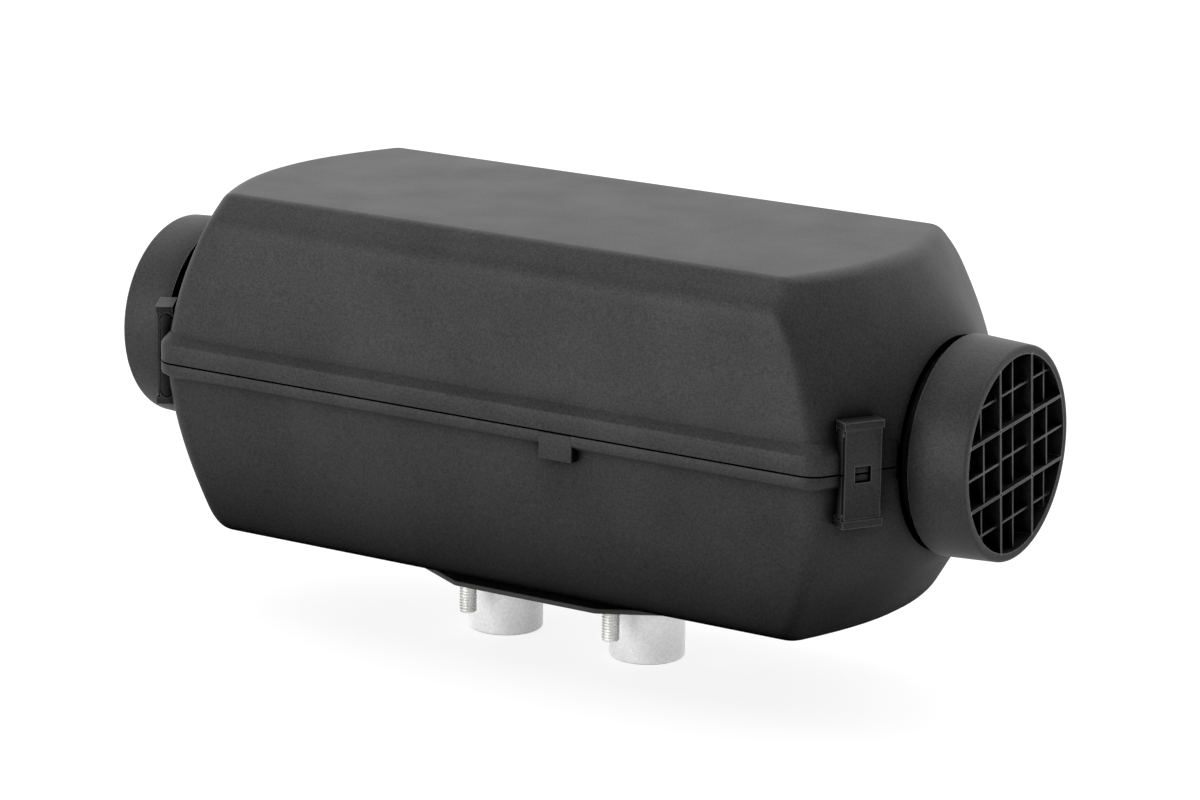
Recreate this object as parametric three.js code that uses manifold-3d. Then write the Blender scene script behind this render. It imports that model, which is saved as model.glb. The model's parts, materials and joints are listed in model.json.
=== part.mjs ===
// Diesel air heater of the 2 kW class, as an assembly of its separate pieces.
//
// Millimetres, +Z up. X runs along the duct axis, from the air inlet (-X) to the warm-air outlet (+X).
// Everything is drawn about the duct axis, and the whole heater is then lifted by AXIS_HEIGHT, so that
// z = 0 is the face of the foot gasket that is bolted down, and x = y = 0 is the middle of the casing.

import * as THREE from 'three';
import { mergeVertices, toCreasedNormals } from 'three/addons/utils/BufferGeometryUtils.js';
import Module from 'manifold-3d';

const wasm = await Module();
wasm.setup();

// ---------------------------------------------------------------- driving dimensions

const CLEAR = 0.3;                // gap between pieces that rest on each other
const RUNNING_GAP = 1;            // gap round what spins

// Casing section, measured from the duct axis.
const ROOF_Z = 58.3;
const ROOF_HALF_WIDTH = 48.8;
const ROOF_EDGE_R = 4;
const BEVEL_Z = 49.5;             // lower line of the bevel along the roof
const BEVEL_HALF_WIDTH = 57.5;
const BEVEL_EDGE_R = 12;
const SEAM_HALF_WIDTH = 60.8;
const SEAM_EDGE_R = 6;
const FLOOR_DEPTH = 60;
const FLOOR_HALF_WIDTH = 51.3;
const FLOOR_EDGE_R = 9;
const WALL = 2.2;

// Half-lengths at which the straight casing turns into its tapered end.
const ROOF_MID_X = 122;
const ROOF_CORNER_X = 109.3;
const BEVEL_X = 110.6;
const SEAM_X = 125.7;
const FLOOR_CORNER_X = 111.4;
const FLOOR_MID_X = 123.5;
const SHOULDER_SOFT = 4.5;        // how far the turn is drawn out to each side

// Duct hoods: a ring in front, a neck in the casing and a flange in the collar's groove.
const NECK_X = 141.5;             // half-length of the casing
const RING_R = 34.8;
const RING_WALL = 3;
const RING_GAP = 3.1;             // dark groove between the casing and the ring
const RING_LENGTH = 20.5;
const RING_ROUND = 1.2;
const RING_CHAMFER = 0.6;
const HOOD_STEP = 2.6;            // the neck is this much smaller than the ring
const NECK_WALL = 1.8;
const FLANGE_R = 36.2;
const FLANGE_THICK = 2.4;
const COLLAR_LIP = 4;             // casing collar in front of the groove and behind it
const COLLAR_R = 39.5;

// Guard grille in the rings.
const RIB_PITCH = 10;
const MAIN_RIB = 1.4;
const MAIN_RIB_SETBACK = 0.8;
const MAIN_RIB_DEPTH = 8;
const FINE_RIB = 1;
const FINE_RIB_SETBACK = 3.4;
const SIDE_CELL_SETBACK = 2.3;
const FINE_RIB_DEPTH = 4.5;

// Rim along the seam of the two shells.
const SEAM_GAP = 0.4;
const RIM_PROUD = 2.1;
const RIM_CORNER_R = 6;
const UPPER_RIM = 6.5;
const UPPER_LEDGE = 3.5;
const LOWER_RIM = 3.5;
const LOWER_LEDGE = 2.2;
const PRY_TAB = { x: 32.3, width: 12.8, height: 9.2, proud: 2.2 };

// Clips that hold the shells together, and the bosses that they clasp.
const CLIP_ALONG = 14.6;          // from the neck corner, along the tapered end
const CLIP_WIDTH = 14;
const CLIP_HALF_HEIGHT = 17;
const CLIP_PLATE = 1.3;
const CLIP_LIP = 2.3;
const CLIP_DEPTH = 5.8;
const CLIP_WINDOW = { width: 5.7, height: 5.2 };
const PAD_PROUD = 0.9;
const NOSE_R = 2;
const NOSE_WRAP = 160;            // degrees of the rounded nose that the hook wraps
const BOSS_NECK = 1.6;            // how much thinner the boss is behind its nose

// Foot: plinth on the lower shell, cast foot inside it, gasket under both.
const FOOT_MID_X = 2;
const PLINTH_HALF_LENGTH = 50;
const PLINTH_HALF_WIDTH = 35;
const PLINTH_CUT_X = 22;
const PLINTH_CUT_Y = 12;
const PLINTH_CORNER_R = 5;
const PLINTH_HEIGHT = 6;
const PLINTH_WALL = 3.5;
const GASKET = 1.7;
const GASKET_INSET = 0.8;
const SPIGOT_X = [-28, 29];       // combustion-air spigot, exhaust spigot
const SPIGOT_R = 12.7;
const SPIGOT_WALL = 2.5;
const SPIGOT_LENGTH = 22.9;       // below the mounting face
const STUD_Y = 23;
const STUD_R = 3;
const STUD_LENGTH = 12.2;         // below the mounting face
const STUD_GRIP = 7;
const STUD_CHAMFER = 0.5;

// Heat exchanger casting.
const HX_FACE_X = -36;
const HX_LENGTH = 148;
const HX_FLANGE_R = 44;
const HX_FLANGE_THICK = 5;
const HX_CORE_R = 33;
const HX_CORE_WALL = 3.5;
const HX_DOME = 9;
const FIN_COUNT = 18;
const FIN_THICK = 1.8;
const FIN_AIR_GAP = 4;            // between the fin tips and the casing
const FIN_MAX_R = 58;
const FIN_START = 30;             // from the casting's face
const FIN_END = 6;                // from the casting's far end
const FIN_TAPER = 10;
const TOWER_HALF_WIDTH = 14;
const FOOT_WEB_Y = 19;
const FOOT_WEB = 3;
const FOOT_JOINT_DROP = 3;        // from the core down to the joint with the foot casting
const AIR_CHANNEL_HALF_WIDTH = 8;
const AIR_CHANNEL_HEIGHT = 8;
const AIR_CHANNEL_FLOOR = 3;

// Burner.
const CHAMBER_R = 22;
const CHAMBER_WALL = 1.2;
const CHAMBER_LENGTH = 57;
const CHAMBER_PLATE = 2;
const AIR_HOLE_R = 6;
const SWIRL_HOLE_R = 2;
const SWIRL_HOLES = 4;            // in each row
const SWIRL_ROWS = [28, 40];      // from the chamber's face
const FLAME_TUBE_LAP = 5;
const FLAME_TURN = 4.2;           // room for the gas to turn round at the flame tube's end
const MAT_THICK = 3;
const BURNER_X = 16;              // glow plug and fuel pipe, from the casting's face
const PLUG_R = 5;
const PLUG_TIP_R = 2.2;
const PLUG_REACH = 7;             // into the chamber
const PLUG_HEX_R = 7.5;
const PLUG_HEX_HEIGHT = 5;
const PLUG_TERMINAL = 5;
const PLUG_BOSS_R = 8.5;
const PLUG_BOSS_Z = 43;
const SCREEN_WALL = 0.9;
const SCREEN_COLLAR = 2;
const FUEL_PIPE_R = 2.5;
const FUEL_PIPE_BORE_R = 1.5;
const FUEL_PIPE_BEND = 6;
const FUEL_PIPE_LENGTH = 12;      // below the mounting face

// Blower: side-channel compressor for the combustion air, motor, warm-air fan.
const GASKET_BURNER = 1.2;
const COVER_THICK = 6;
const HOUSING_LENGTH = 14;
const IMPELLER_R = 34;
const IMPELLER_THICK = 7;
const IMPELLER_HUB_R = 9;
const IMPELLER_VANES = 12;
const CHANNEL_INNER_R = 24;
const CHANNEL_DEPTH = 3;
const BOLT_CIRCLE_R = 39.5;
const BOLT_ANGLES = [20, 160, 200, 340];
const BOLT_R = 2.4;
const BOLT_HEAD_R = 4.3;
const BOLT_HEAD = 3.4;
const MOTOR_R = 21;
const MOTOR_LENGTH = 38;
const MOTOR_WALL = 1.4;
const END_CAP = 3.7;
const END_CAP_CHAMFER = 2.5;
const MAGNET_WALL = 3.2;
const ARMATURE_LENGTH = 28;
const WINDING_LENGTH = 3.5;
const WINDING_STEP = 2.3;         // the winding heads are this much smaller than the core
const SHAFT_R = 2.5;
const BEARING_R = 8;
const BEARING_WIDTH = 4;
const SPEED_MAGNET = { radius: 6, width: 2.4 };
const FAN_R = 41;
const FAN_HUB_R = 18;
const FAN_LENGTH = 25;
const FAN_NOSE_R = 7;
const FAN_SOCKET = 18;            // depth of the hub's hole for the shaft
const FAN_BLADES = 9;
const BLADE_ROOT_CHORD = 21;
const BLADE_TIP_CHORD = 29;
const BLADE_ROOT_STAGGER = 32;
const BLADE_TIP_STAGGER = 60;
const BLADE_THICK = 1.8;
const BLADE_CAMBER = 2.4;
const BLADE_ROOTED = 5;           // how deep the blades run into the hub

// Control unit above the motor.
const CONTROL_HALF_WIDTH = 40;
const CONTROL_LENGTH = 40;
const CONTROL_HEIGHT = 25;
const CONTROL_WALL = 2;
const CONTROL_COVER = 2;
const BOARD = 1.6;
const BOARD_STANDOFF = 6;
const POST_INSET = 6;
const HEADER = { length: 20, width: 12, height: 9, wall: 1 };

// Sensor on the casting, and the rubber grommets in the floor.
const SENSOR = { fromEnd: 24, length: 14, width: 8, height: 5 };
const SENSOR_PAD = { length: 20, width: 18, height: 4 };
const SPRING = 0.8;
const CABLE_GROMMET = { x: -80, y: 26, bore: 4.5, neck: 7.7, flange: 10, lip: 2 };
const FUEL_GROMMET = { neck: 3.7, flange: 4.6, lip: 1.5 };

// ---------------------------------------------------------------- derived sizes

const AXIS_HEIGHT = FLOOR_DEPTH + PLINTH_HEIGHT + CLEAR + GASKET;
const RING_BACK_X = NECK_X + RING_GAP;
const RING_FACE_X = RING_BACK_X + RING_LENGTH;
const RING_BORE_R = RING_R - RING_WALL;
const HOOD_NECK_R = RING_R - HOOD_STEP;
const HOOD_BORE_R = HOOD_NECK_R - NECK_WALL;
const FLANGE_FRONT_X = NECK_X - COLLAR_LIP - CLEAR;
const FLANGE_BACK_X = FLANGE_FRONT_X - FLANGE_THICK;
const COLLAR_BACK_X = FLANGE_BACK_X - CLEAR - COLLAR_LIP / 2;

const INNER_ROOF_Z = ROOF_Z - WALL;
const INNER_FLOOR_Z = -(FLOOR_DEPTH - WALL);
const FOOT_Z = -(FLOOR_DEPTH + PLINTH_HEIGHT);
const FACE_Z = -AXIS_HEIGHT;
const SPIGOT_BORE_R = SPIGOT_R - SPIGOT_WALL;

const HX_BORE_R = HX_CORE_R - HX_CORE_WALL;
const HX_END_X = HX_FACE_X + HX_LENGTH;
const HX_BORE_END_X = HX_END_X - HX_DOME - HX_CORE_WALL;
const FOOT_JOINT_Z = -(HX_CORE_R + FOOT_JOINT_DROP);
const FIN_TIP = Math.min(INNER_ROOF_Z, -INNER_FLOOR_Z) - FIN_AIR_GAP;
const AIR_CHANNEL_Z = INNER_FLOOR_Z + AIR_CHANNEL_FLOOR;
const BURNER_HOLE_X = HX_FACE_X + BURNER_X;
const CHAMBER_FACE_X = HX_FACE_X + CLEAR;
const CHAMBER_BACK_X = CHAMBER_FACE_X + 2 * CHAMBER_PLATE;
const CHAMBER_END_X = CHAMBER_FACE_X + CHAMBER_LENGTH;
const CHAMBER_BORE_R = CHAMBER_R - CHAMBER_WALL;
const FUEL_PIPE_Y = PLINTH_HALF_WIDTH + FUEL_GROMMET.flange + CLEAR;
const SCREEN_R = PLUG_TIP_R + CLEAR + SCREEN_WALL;
const SCREEN_TOP_Z = HX_BORE_R + SCREEN_COLLAR;
const PLUG_TIP_Z = CHAMBER_BORE_R - PLUG_REACH;
const SENSOR_X = HX_END_X - SENSOR.fromEnd;
const SENSOR_PAD_Z = HX_CORE_R + SENSOR_PAD.height;

const COVER_BACK_X = HX_FACE_X - 2 * CLEAR - GASKET_BURNER;
const COVER_FRONT_X = COVER_BACK_X - COVER_THICK;
const HOUSING_BACK_X = COVER_FRONT_X - CLEAR;
const HOUSING_FRONT_X = HOUSING_BACK_X - HOUSING_LENGTH;
const IMPELLER_BACK_X = HOUSING_BACK_X - RUNNING_GAP;
const IMPELLER_FRONT_X = IMPELLER_BACK_X - IMPELLER_THICK;
const MOTOR_BACK_X = HOUSING_FRONT_X - CLEAR;
const MOTOR_FRONT_X = MOTOR_BACK_X - MOTOR_LENGTH;
const CAP_BACK_X = MOTOR_FRONT_X - CLEAR;
const CAP_FRONT_X = CAP_BACK_X - END_CAP;
const SPEED_MAGNET_X = CAP_FRONT_X - RUNNING_GAP;
const FAN_BACK_X = SPEED_MAGNET_X - SPEED_MAGNET.width - CLEAR;
const FAN_FRONT_X = FAN_BACK_X - FAN_LENGTH;

const CONTROL_Z = MOTOR_R + CLEAR;
const CONTROL_X = MOTOR_BACK_X - CONTROL_LENGTH / 2;
const BOARD_Z = CONTROL_Z + CONTROL_WALL + BOARD_STANDOFF + CLEAR;

// ---------------------------------------------------------------- places that repeat

const ENDS = [1, -1];
const SIDES = [-1, 1];
const STUD_PLACES = SPIGOT_X.flatMap((x) => SIDES.map((side) => [x, side * STUD_Y]));
const BOLT_PLACES = BOLT_ANGLES.map((degrees) => onCircle(BOLT_CIRCLE_R, degrees));

function onCircle(radius, degrees) {
  const angle = THREE.MathUtils.degToRad(degrees);
  return [radius * Math.cos(angle), radius * Math.sin(angle)];
}

// ---------------------------------------------------------------- solids

const ROUND_SIDES = 32;
const MEDIUM_SIDES = 18;
const SMALL_SIDES = 10;
const HEX_SIDES = 6;
const MERGE_TOLERANCE = 1e-4;
const CREASE = THREE.MathUtils.degToRad(28);

/** The closed solid of a geometry, whichever way round its faces were drawn. */
function solid(geometry) {
  geometry.deleteAttribute('normal');
  geometry.deleteAttribute('uv');
  const merged = mergeVertices(geometry, MERGE_TOLERANCE);
  const vertProperties = Float32Array.from(merged.attributes.position.array);
  const triVerts = Uint32Array.from(trianglesOf(merged.index.array));
  if (signedVolume(vertProperties, triVerts) < 0) {
    triVerts.reverse();
  }
  return new wasm.Manifold(new wasm.Mesh({ numProp: 3, vertProperties, triVerts }));
}

/** The index without the triangles that a merged edge has folded to nothing. */
function trianglesOf(index) {
  const kept = [];
  for (let i = 0; i < index.length; i += 3) {
    const triangle = [index[i], index[i + 1], index[i + 2]];
    if (new Set(triangle).size === 3) {
      kept.push(...triangle);
    }
  }
  return kept;
}

function signedVolume(points, triangles) {
  const corner = (index) => new THREE.Vector3().fromArray(points, 3 * index);
  let sum = 0;
  for (let i = 0; i < triangles.length; i += 3) {
    const [a, b, c] = [corner(triangles[i]), corner(triangles[i + 1]), corner(triangles[i + 2])];
    sum += a.dot(b.cross(c)) / 6;
  }
  return sum;
}

function joined(solids) {
  return solids.reduce((sum, next) => sum.add(next));
}

function without(body, tools) {
  return tools.reduce((rest, tool) => rest.subtract(tool), body);
}

/** The range of a width about its middle. */
const span = (middle, width) => [middle - width / 2, middle + width / 2];

function box([x0, x1], [y0, y1], [z0, z1]) {
  const geometry = new THREE.BoxGeometry(x1 - x0, y1 - y0, z1 - z0);
  geometry.translate((x0 + x1) / 2, (y0 + y1) / 2, (z0 + z1) / 2);
  return solid(geometry);
}

/** Round rod between two points. */
function rod(from, to, radius, sides = SMALL_SIDES) {
  const start = new THREE.Vector3(...from);
  const along = new THREE.Vector3(...to).sub(start);
  const geometry = new THREE.CylinderGeometry(radius, radius, along.length(), sides);
  geometry.translate(0, along.length() / 2, 0);
  const turn = new THREE.Quaternion().setFromUnitVectors(new THREE.Vector3(0, 1, 0), along.normalize());
  geometry.applyQuaternion(turn);
  geometry.translate(start.x, start.y, start.z);
  return solid(geometry);
}

function rodX(radius, x0, x1, [y, z] = [0, 0], sides = SMALL_SIDES) {
  return rod([x0, y, z], [x1, y, z], radius, sides);
}

function rodZ(radius, z0, z1, [x, y] = [0, 0], sides = SMALL_SIDES) {
  return rod([x, y, z0], [x, y, z1], radius, sides);
}

/** Lathe about +Y from a profile of [height, radius] that runs from axis to axis, or closes on itself. */
function lathe(profile, sides) {
  const points = profile.map(([height, radius]) => new THREE.Vector2(radius, height));
  const closing = points[0].x > 0 ? [points[0]] : [];
  return new THREE.LatheGeometry([...points, ...closing], sides);
}

/** Solid turned about the duct axis from a profile of [x, radius]. */
function turned(profile, sides = MEDIUM_SIDES) {
  return solid(lathe(profile, sides).rotateZ(-Math.PI / 2));
}

/** Solid turned about a vertical axis through [x, y] from a profile of [z, radius]. */
function turnedUpright([x, y], profile, sides = SMALL_SIDES) {
  return solid(lathe(profile, sides).rotateX(Math.PI / 2).translate(x, y, 0));
}

/** Closed body through rings of points, all with the same count, capped at both ends. */
function loft(rings) {
  const count = rings[0].length;
  const positions = rings.flat(2);
  const indices = [];
  for (let ring = 0; ring + 1 < rings.length; ring += 1) {
    for (let i = 0; i < count; i += 1) {
      const near = ring * count + i;
      const next = ring * count + (i + 1) % count;
      indices.push(near, next, next + count, near, next + count, near + count);
    }
  }
  for (const [ring, flip] of [[0, true], [rings.length - 1, false]]) {
    const centre = positions.length / 3;
    positions.push(...middleOf(rings[ring]));
    for (let i = 0; i < count; i += 1) {
      const near = ring * count + i;
      const next = ring * count + (i + 1) % count;
      indices.push(...(flip ? [centre, next, near] : [centre, near, next]));
    }
  }
  const geometry = new THREE.BufferGeometry();
  geometry.setAttribute('position', new THREE.Float32BufferAttribute(positions, 3));
  geometry.setIndex(indices);
  return solid(geometry);
}

function middleOf(points) {
  const sum = new THREE.Vector3();
  points.forEach((point) => sum.add(new THREE.Vector3(...point)));
  return sum.divideScalar(points.length).toArray();
}

/** Upright prism through a convex outline of [x, y] points. */
function prism(outline, z0, z1) {
  return loft([z0, z1].map((z) => outline.map(([x, y]) => [x, y, z])));
}

// ---------------------------------------------------------------- outlines

/** Corners { at, radius } of a convex outline, drawn anticlockwise, moved in by `inset` and rounded. */
function roundedOutline(corners, inset = 0, arcSteps = CORNER_STEPS) {
  const count = corners.length;
  const at = corners.map((corner) => new THREE.Vector2(...corner.at));
  const heading = at.map((point, i) => at[(i + 1) % count].clone().sub(point).normalize());
  const leftOf = (direction) => new THREE.Vector2(-direction.y, direction.x);
  const points = [];
  corners.forEach((corner, i) => {
    const arriving = heading[(i + count - 1) % count];
    const leaving = heading[i];
    const [normalIn, normalOut] = [leftOf(arriving), leftOf(leaving)];
    const moved = at[i].clone().addScaledVector(
      normalIn.clone().add(normalOut), inset / (1 + normalIn.dot(normalOut)));
    const turn = Math.atan2(arriving.cross(leaving), arriving.dot(leaving));
    const radius = Math.max(corner.radius - inset, CLEAR);
    const start = moved.clone().addScaledVector(arriving, -radius * Math.tan(turn / 2));
    const centre = start.clone().addScaledVector(normalIn, radius);
    for (let step = 0; step <= arcSteps; step += 1) {
      const spoke = normalIn.clone().rotateAround(new THREE.Vector2(), (turn * step) / arcSteps);
      points.push(centre.clone().addScaledVector(spoke, -radius).toArray());
    }
  });
  return points;
}

/** The outline again, with its long straight sides cut into an even number of short ones. */
function divided(outline, longest) {
  return outline.flatMap((point, i) => {
    const next = outline[(i + 1) % outline.length];
    const length = Math.hypot(next[0] - point[0], next[1] - point[1]);
    const parts = length > longest ? 2 * Math.ceil(length / longest / 2) : 1;
    const place = (share) => [0, 1].map((axis) => point[axis] + (next[axis] - point[axis]) * share);
    return Array.from({ length: parts }, (_, part) => place(part / parts));
  });
}

/** Both mirror images of a half outline's corners, from the top round by the left to the bottom. */
function mirroredCorners(half) {
  const left = half.map(([across, up, radius]) => ({ at: [-across, up], radius }));
  const right = half.map(([across, up, radius]) => ({ at: [across, up], radius })).reverse();
  return [...left, ...right];
}

// ---------------------------------------------------------------- casing form

const SECTION_STEP = 30;
const SHOULDER_STEPS = 2;
const CORNER_STEPS = 2;

const SECTION_CORNERS = mirroredCorners([
  [ROOF_HALF_WIDTH, ROOF_Z, ROOF_EDGE_R],
  [BEVEL_HALF_WIDTH, BEVEL_Z, BEVEL_EDGE_R],
  [SEAM_HALF_WIDTH, 0, SEAM_EDGE_R],
  [FLOOR_HALF_WIDTH, -FLOOR_DEPTH, FLOOR_EDGE_R],
]);

// Where each named corner of the section turns into the tapered end, seen from the duct axis.
const SHOULDERS = [
  { across: 0, up: -FLOOR_DEPTH, x: FLOOR_MID_X },
  { across: FLOOR_HALF_WIDTH, up: -FLOOR_DEPTH, x: FLOOR_CORNER_X },
  { across: SEAM_HALF_WIDTH, up: 0, x: SEAM_X },
  { across: BEVEL_HALF_WIDTH, up: BEVEL_Z, x: BEVEL_X },
  { across: ROOF_HALF_WIDTH, up: ROOF_Z, x: ROOF_CORNER_X },
  { across: 0, up: ROOF_Z, x: ROOF_MID_X },
].map(({ across, up, x }) => ({
  angle: Math.atan2(up, across),
  slope: (NECK_X - x) / (Math.hypot(across, up) - RING_R),
}));

/** Axial fall of the tapered end for each millimetre of radius, on the meridian through [y, z]. */
function endSlope(y, z) {
  const angle = Math.atan2(z, Math.abs(y));
  const above = Math.max(1, SHOULDERS.findIndex((shoulder) => shoulder.angle >= angle - 1e-9));
  const [low, high] = [SHOULDERS[above - 1], SHOULDERS[above]];
  return THREE.MathUtils.mapLinear(angle, low.angle, high.angle, low.slope, high.slope);
}

/** Points [x, radius] of one meridian, from where its shoulder starts to bend to the neck. */
function meridian(y, z, inset, steps) {
  const radius = Math.hypot(y, z);
  const slope = endSlope(y, z);
  const lean = Math.hypot(1, slope);
  const neckX = NECK_X - inset * lean;
  const corner = new THREE.Vector2(neckX - slope * (radius - RING_R), radius);
  const bend = new THREE.QuadraticBezierCurve(
    new THREE.Vector2(corner.x - SHOULDER_SOFT, radius),
    corner,
    new THREE.Vector2(corner.x + (SHOULDER_SOFT * slope) / lean, radius - SHOULDER_SOFT / lean));
  return [...bend.getPoints(steps), new THREE.Vector2(neckX, RING_R)];
}

/** The casing as one closed form, drawn in by `inset` all round, with `steps` facets over its shoulders. */
function casingForm(inset, steps) {
  const outline = divided(roundedOutline(SECTION_CORNERS, inset), SECTION_STEP);
  const meridians = outline.map(([y, z]) => meridian(y, z, inset, steps));
  const ringAt = (station, side) => outline.map(([y, z], i) => {
    const { x, y: radius } = meridians[i][station];
    const share = radius / Math.hypot(y, z);
    return [side * x, y * share, z * share];
  });
  const stations = [...meridians[0].keys()];
  return loft([
    ...stations.map((station) => ringAt(station, -1)).reverse(),
    ...stations.map((station) => ringAt(station, 1)),
  ]);
}

/** Plan of the casing at the seam, grown by `offset`. */
function seamPlan(offset) {
  return roundedOutline(mirroredCorners([
    [SEAM_X, SEAM_HALF_WIDTH, RIM_CORNER_R],
    [NECK_X, RING_R, CLEAR],
    [NECK_X, -RING_R, CLEAR],
    [SEAM_X, -SEAM_HALF_WIDTH, RIM_CORNER_R],
  ]), -offset);
}

/** Proud rim along the seam; `side` is 1 on the upper shell and -1 on the lower one. */
function seamRim(side, height, ledge) {
  const levels = [
    [SEAM_GAP / 2, RIM_PROUD],
    [height, RIM_PROUD],
    [height + ledge, -WALL / 2],
  ];
  const band = loft(levels.map(([z, offset]) => seamPlan(offset).map(([x, y]) => [x, y, side * z])));
  const reach = SEAM_HALF_WIDTH + 2 * RIM_PROUD;
  return band.intersect(box([-NECK_X, NECK_X], [-reach, reach], [-ROOF_Z, ROOF_Z]));
}

// ---------------------------------------------------------------- clips and their bosses

const END_ANGLE = Math.atan2(NECK_X - SEAM_X, SEAM_HALF_WIDTH - RING_R);
const CLIP_STANDOFF = RIM_PROUD + PAD_PROUD + CLEAR + CLIP_PLATE;
const NOSE_Z = CLIP_HALF_HEIGHT - CLIP_LIP - CLEAR - NOSE_R;
const NOSE_X = -(CLIP_PLATE + CLEAR + NOSE_R);

/** Place of a clip's outer face: x points out of the casing, y lies along its tapered end. */
function clipPlace(end, side) {
  const x = NECK_X - CLIP_ALONG * Math.sin(END_ANGLE) + CLIP_STANDOFF * Math.cos(END_ANGLE);
  const y = RING_R + CLIP_ALONG * Math.cos(END_ANGLE) + CLIP_STANDOFF * Math.sin(END_ANGLE);
  const heading = Math.atan2(side * Math.sin(END_ANGLE), end * Math.cos(END_ANGLE));
  return { position: new THREE.Vector3(end * x, side * y, 0), heading };
}

/** Arc over the boss's rounded nose, from its pad side to `degrees` round it, as [x, z] points. */
function noseArc(radius, degrees, up) {
  const steps = 5;
  return Array.from({ length: steps + 1 }, (_, step) => {
    const angle = THREE.MathUtils.degToRad((degrees * step) / steps);
    return [NOSE_X + radius * Math.cos(angle), up * (NOSE_Z + radius * Math.sin(angle))];
  });
}

/** Solid from an [x, z] profile, as wide as `width` along local y. */
function clipBar(profile, width) {
  const shape = new THREE.Shape(profile.map(([x, z]) => new THREE.Vector2(x, z)));
  const geometry = new THREE.ExtrudeGeometry(shape, { depth: width, bevelEnabled: false });
  geometry.translate(0, 0, -width / 2);
  geometry.rotateX(Math.PI / 2);
  return geometry;
}

function clipSolid() {
  const gap = NOSE_R + CLEAR;
  const profile = [
    [0, -CLIP_HALF_HEIGHT],
    [0, CLIP_HALF_HEIGHT],
    [-CLIP_DEPTH, CLIP_HALF_HEIGHT],
    ...noseArc(gap, NOSE_WRAP, 1).reverse(),
    ...noseArc(gap, NOSE_WRAP, -1),
    [-CLIP_DEPTH, -CLIP_HALF_HEIGHT],
  ];
  const window = box([-CLIP_DEPTH, CLIP_DEPTH], span(0, CLIP_WINDOW.width), span(0, CLIP_WINDOW.height));
  return solid(clipBar(profile, CLIP_WIDTH)).subtract(window);
}

/** Boss across the seam that one clip clasps, in its place on the casing. */
function clipBoss(end, side) {
  const neckZ = NOSE_Z + NOSE_R - BOSS_NECK;
  const root = -CLIP_DEPTH - 2 * WALL;
  const profile = [
    ...noseArc(NOSE_R, NOSE_WRAP, 1),
    [-CLIP_DEPTH, neckZ],
    [root, neckZ],
    [root, -neckZ],
    [-CLIP_DEPTH, -neckZ],
    ...noseArc(NOSE_R, NOSE_WRAP, -1).reverse(),
  ];
  const { position, heading } = clipPlace(end, side);
  const geometry = clipBar(profile, CLIP_WIDTH);
  geometry.rotateZ(heading);
  geometry.translate(position.x, position.y, position.z);
  return solid(geometry);
}

// ---------------------------------------------------------------- shells

const FAR = 2 * NECK_X;

function foot(inset) {
  const [length, width] = [PLINTH_HALF_LENGTH, PLINTH_HALF_WIDTH];
  const corners = [
    [length, -width + PLINTH_CUT_Y],
    [length, width - PLINTH_CUT_Y],
    [length - PLINTH_CUT_X, width],
    [-length + PLINTH_CUT_X, width],
    [-length, width - PLINTH_CUT_Y],
    [-length, -width + PLINTH_CUT_Y],
    [-length + PLINTH_CUT_X, -width],
    [length - PLINTH_CUT_X, -width],
  ].map(([x, y]) => ({ at: [FOOT_MID_X + x, y], radius: PLINTH_CORNER_R }));
  return roundedOutline(corners, inset);
}

/** What is hollow in both shells: the inside and the collars' bores with their grooves. */
function casingHollow() {
  const atBothEnds = (radius, x0, x1) => ENDS.map(
    (end) => rodX(radius, end * x0, end * x1, [0, 0], ROUND_SIDES));
  const collars = atBothEnds(COLLAR_R, COLLAR_BACK_X, NECK_X);
  const bores = atBothEnds(HOOD_NECK_R + CLEAR, COLLAR_BACK_X - WALL, NECK_X + WALL);
  const grooves = atBothEnds(FLANGE_R + CLEAR, FLANGE_BACK_X - CLEAR, FLANGE_FRONT_X + CLEAR);
  return joined([without(casingForm(WALL, 1), collars), ...bores, ...grooves]);
}

const casingOuter = casingForm(0, SHOULDER_STEPS);
const hollow = casingHollow();
const bosses = ENDS.flatMap((end) => SIDES.map((side) => clipBoss(end, side)));

function halfCasing(side, rim) {
  const half = side > 0 ? [SEAM_GAP / 2, FAR] : [-FAR, -SEAM_GAP / 2];
  const space = box([-FAR, FAR], [-FAR, FAR], half);
  return joined([casingOuter, ...bosses]).intersect(space).add(rim);
}

function upperShell() {
  return halfCasing(1, seamRim(1, UPPER_RIM, UPPER_LEDGE)).subtract(hollow);
}

/** Small lug under the rim, at the front, where a screwdriver parts the shells. */
function pryTab() {
  const faceY = -(SEAM_HALF_WIDTH + PRY_TAB.proud);
  const depth = [faceY, faceY + 2 * PRY_TAB.proud];
  return box(span(PRY_TAB.x, PRY_TAB.width), depth, [-PRY_TAB.height, -SEAM_GAP / 2]);
}

function lowerShell() {
  const body = joined([
    halfCasing(-1, seamRim(-1, LOWER_RIM, LOWER_LEDGE)),
    prism(foot(0), FOOT_Z, INNER_FLOOR_Z),
    pryTab(),
  ]);
  return without(body, [
    hollow,
    prism(foot(PLINTH_WALL), FOOT_Z - WALL, INNER_FLOOR_Z + WALL),
    rodZ(CABLE_GROMMET.neck + CLEAR, FOOT_Z, 0, [CABLE_GROMMET.x, CABLE_GROMMET.y], MEDIUM_SIDES),
    rodZ(FUEL_GROMMET.neck + CLEAR, FOOT_Z, 0, [BURNER_HOLE_X, FUEL_PIPE_Y]),
  ]);
}

function footGasket() {
  return without(prism(foot(GASKET_INSET), FACE_Z, FACE_Z + GASKET), [
    ...SPIGOT_X.map((x) => rodZ(SPIGOT_R + CLEAR, FACE_Z - GASKET, 0, [x, 0], MEDIUM_SIDES)),
    ...STUD_PLACES.map((place) => rodZ(STUD_R + CLEAR, FACE_Z - GASKET, 0, place)),
  ]);
}

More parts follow.
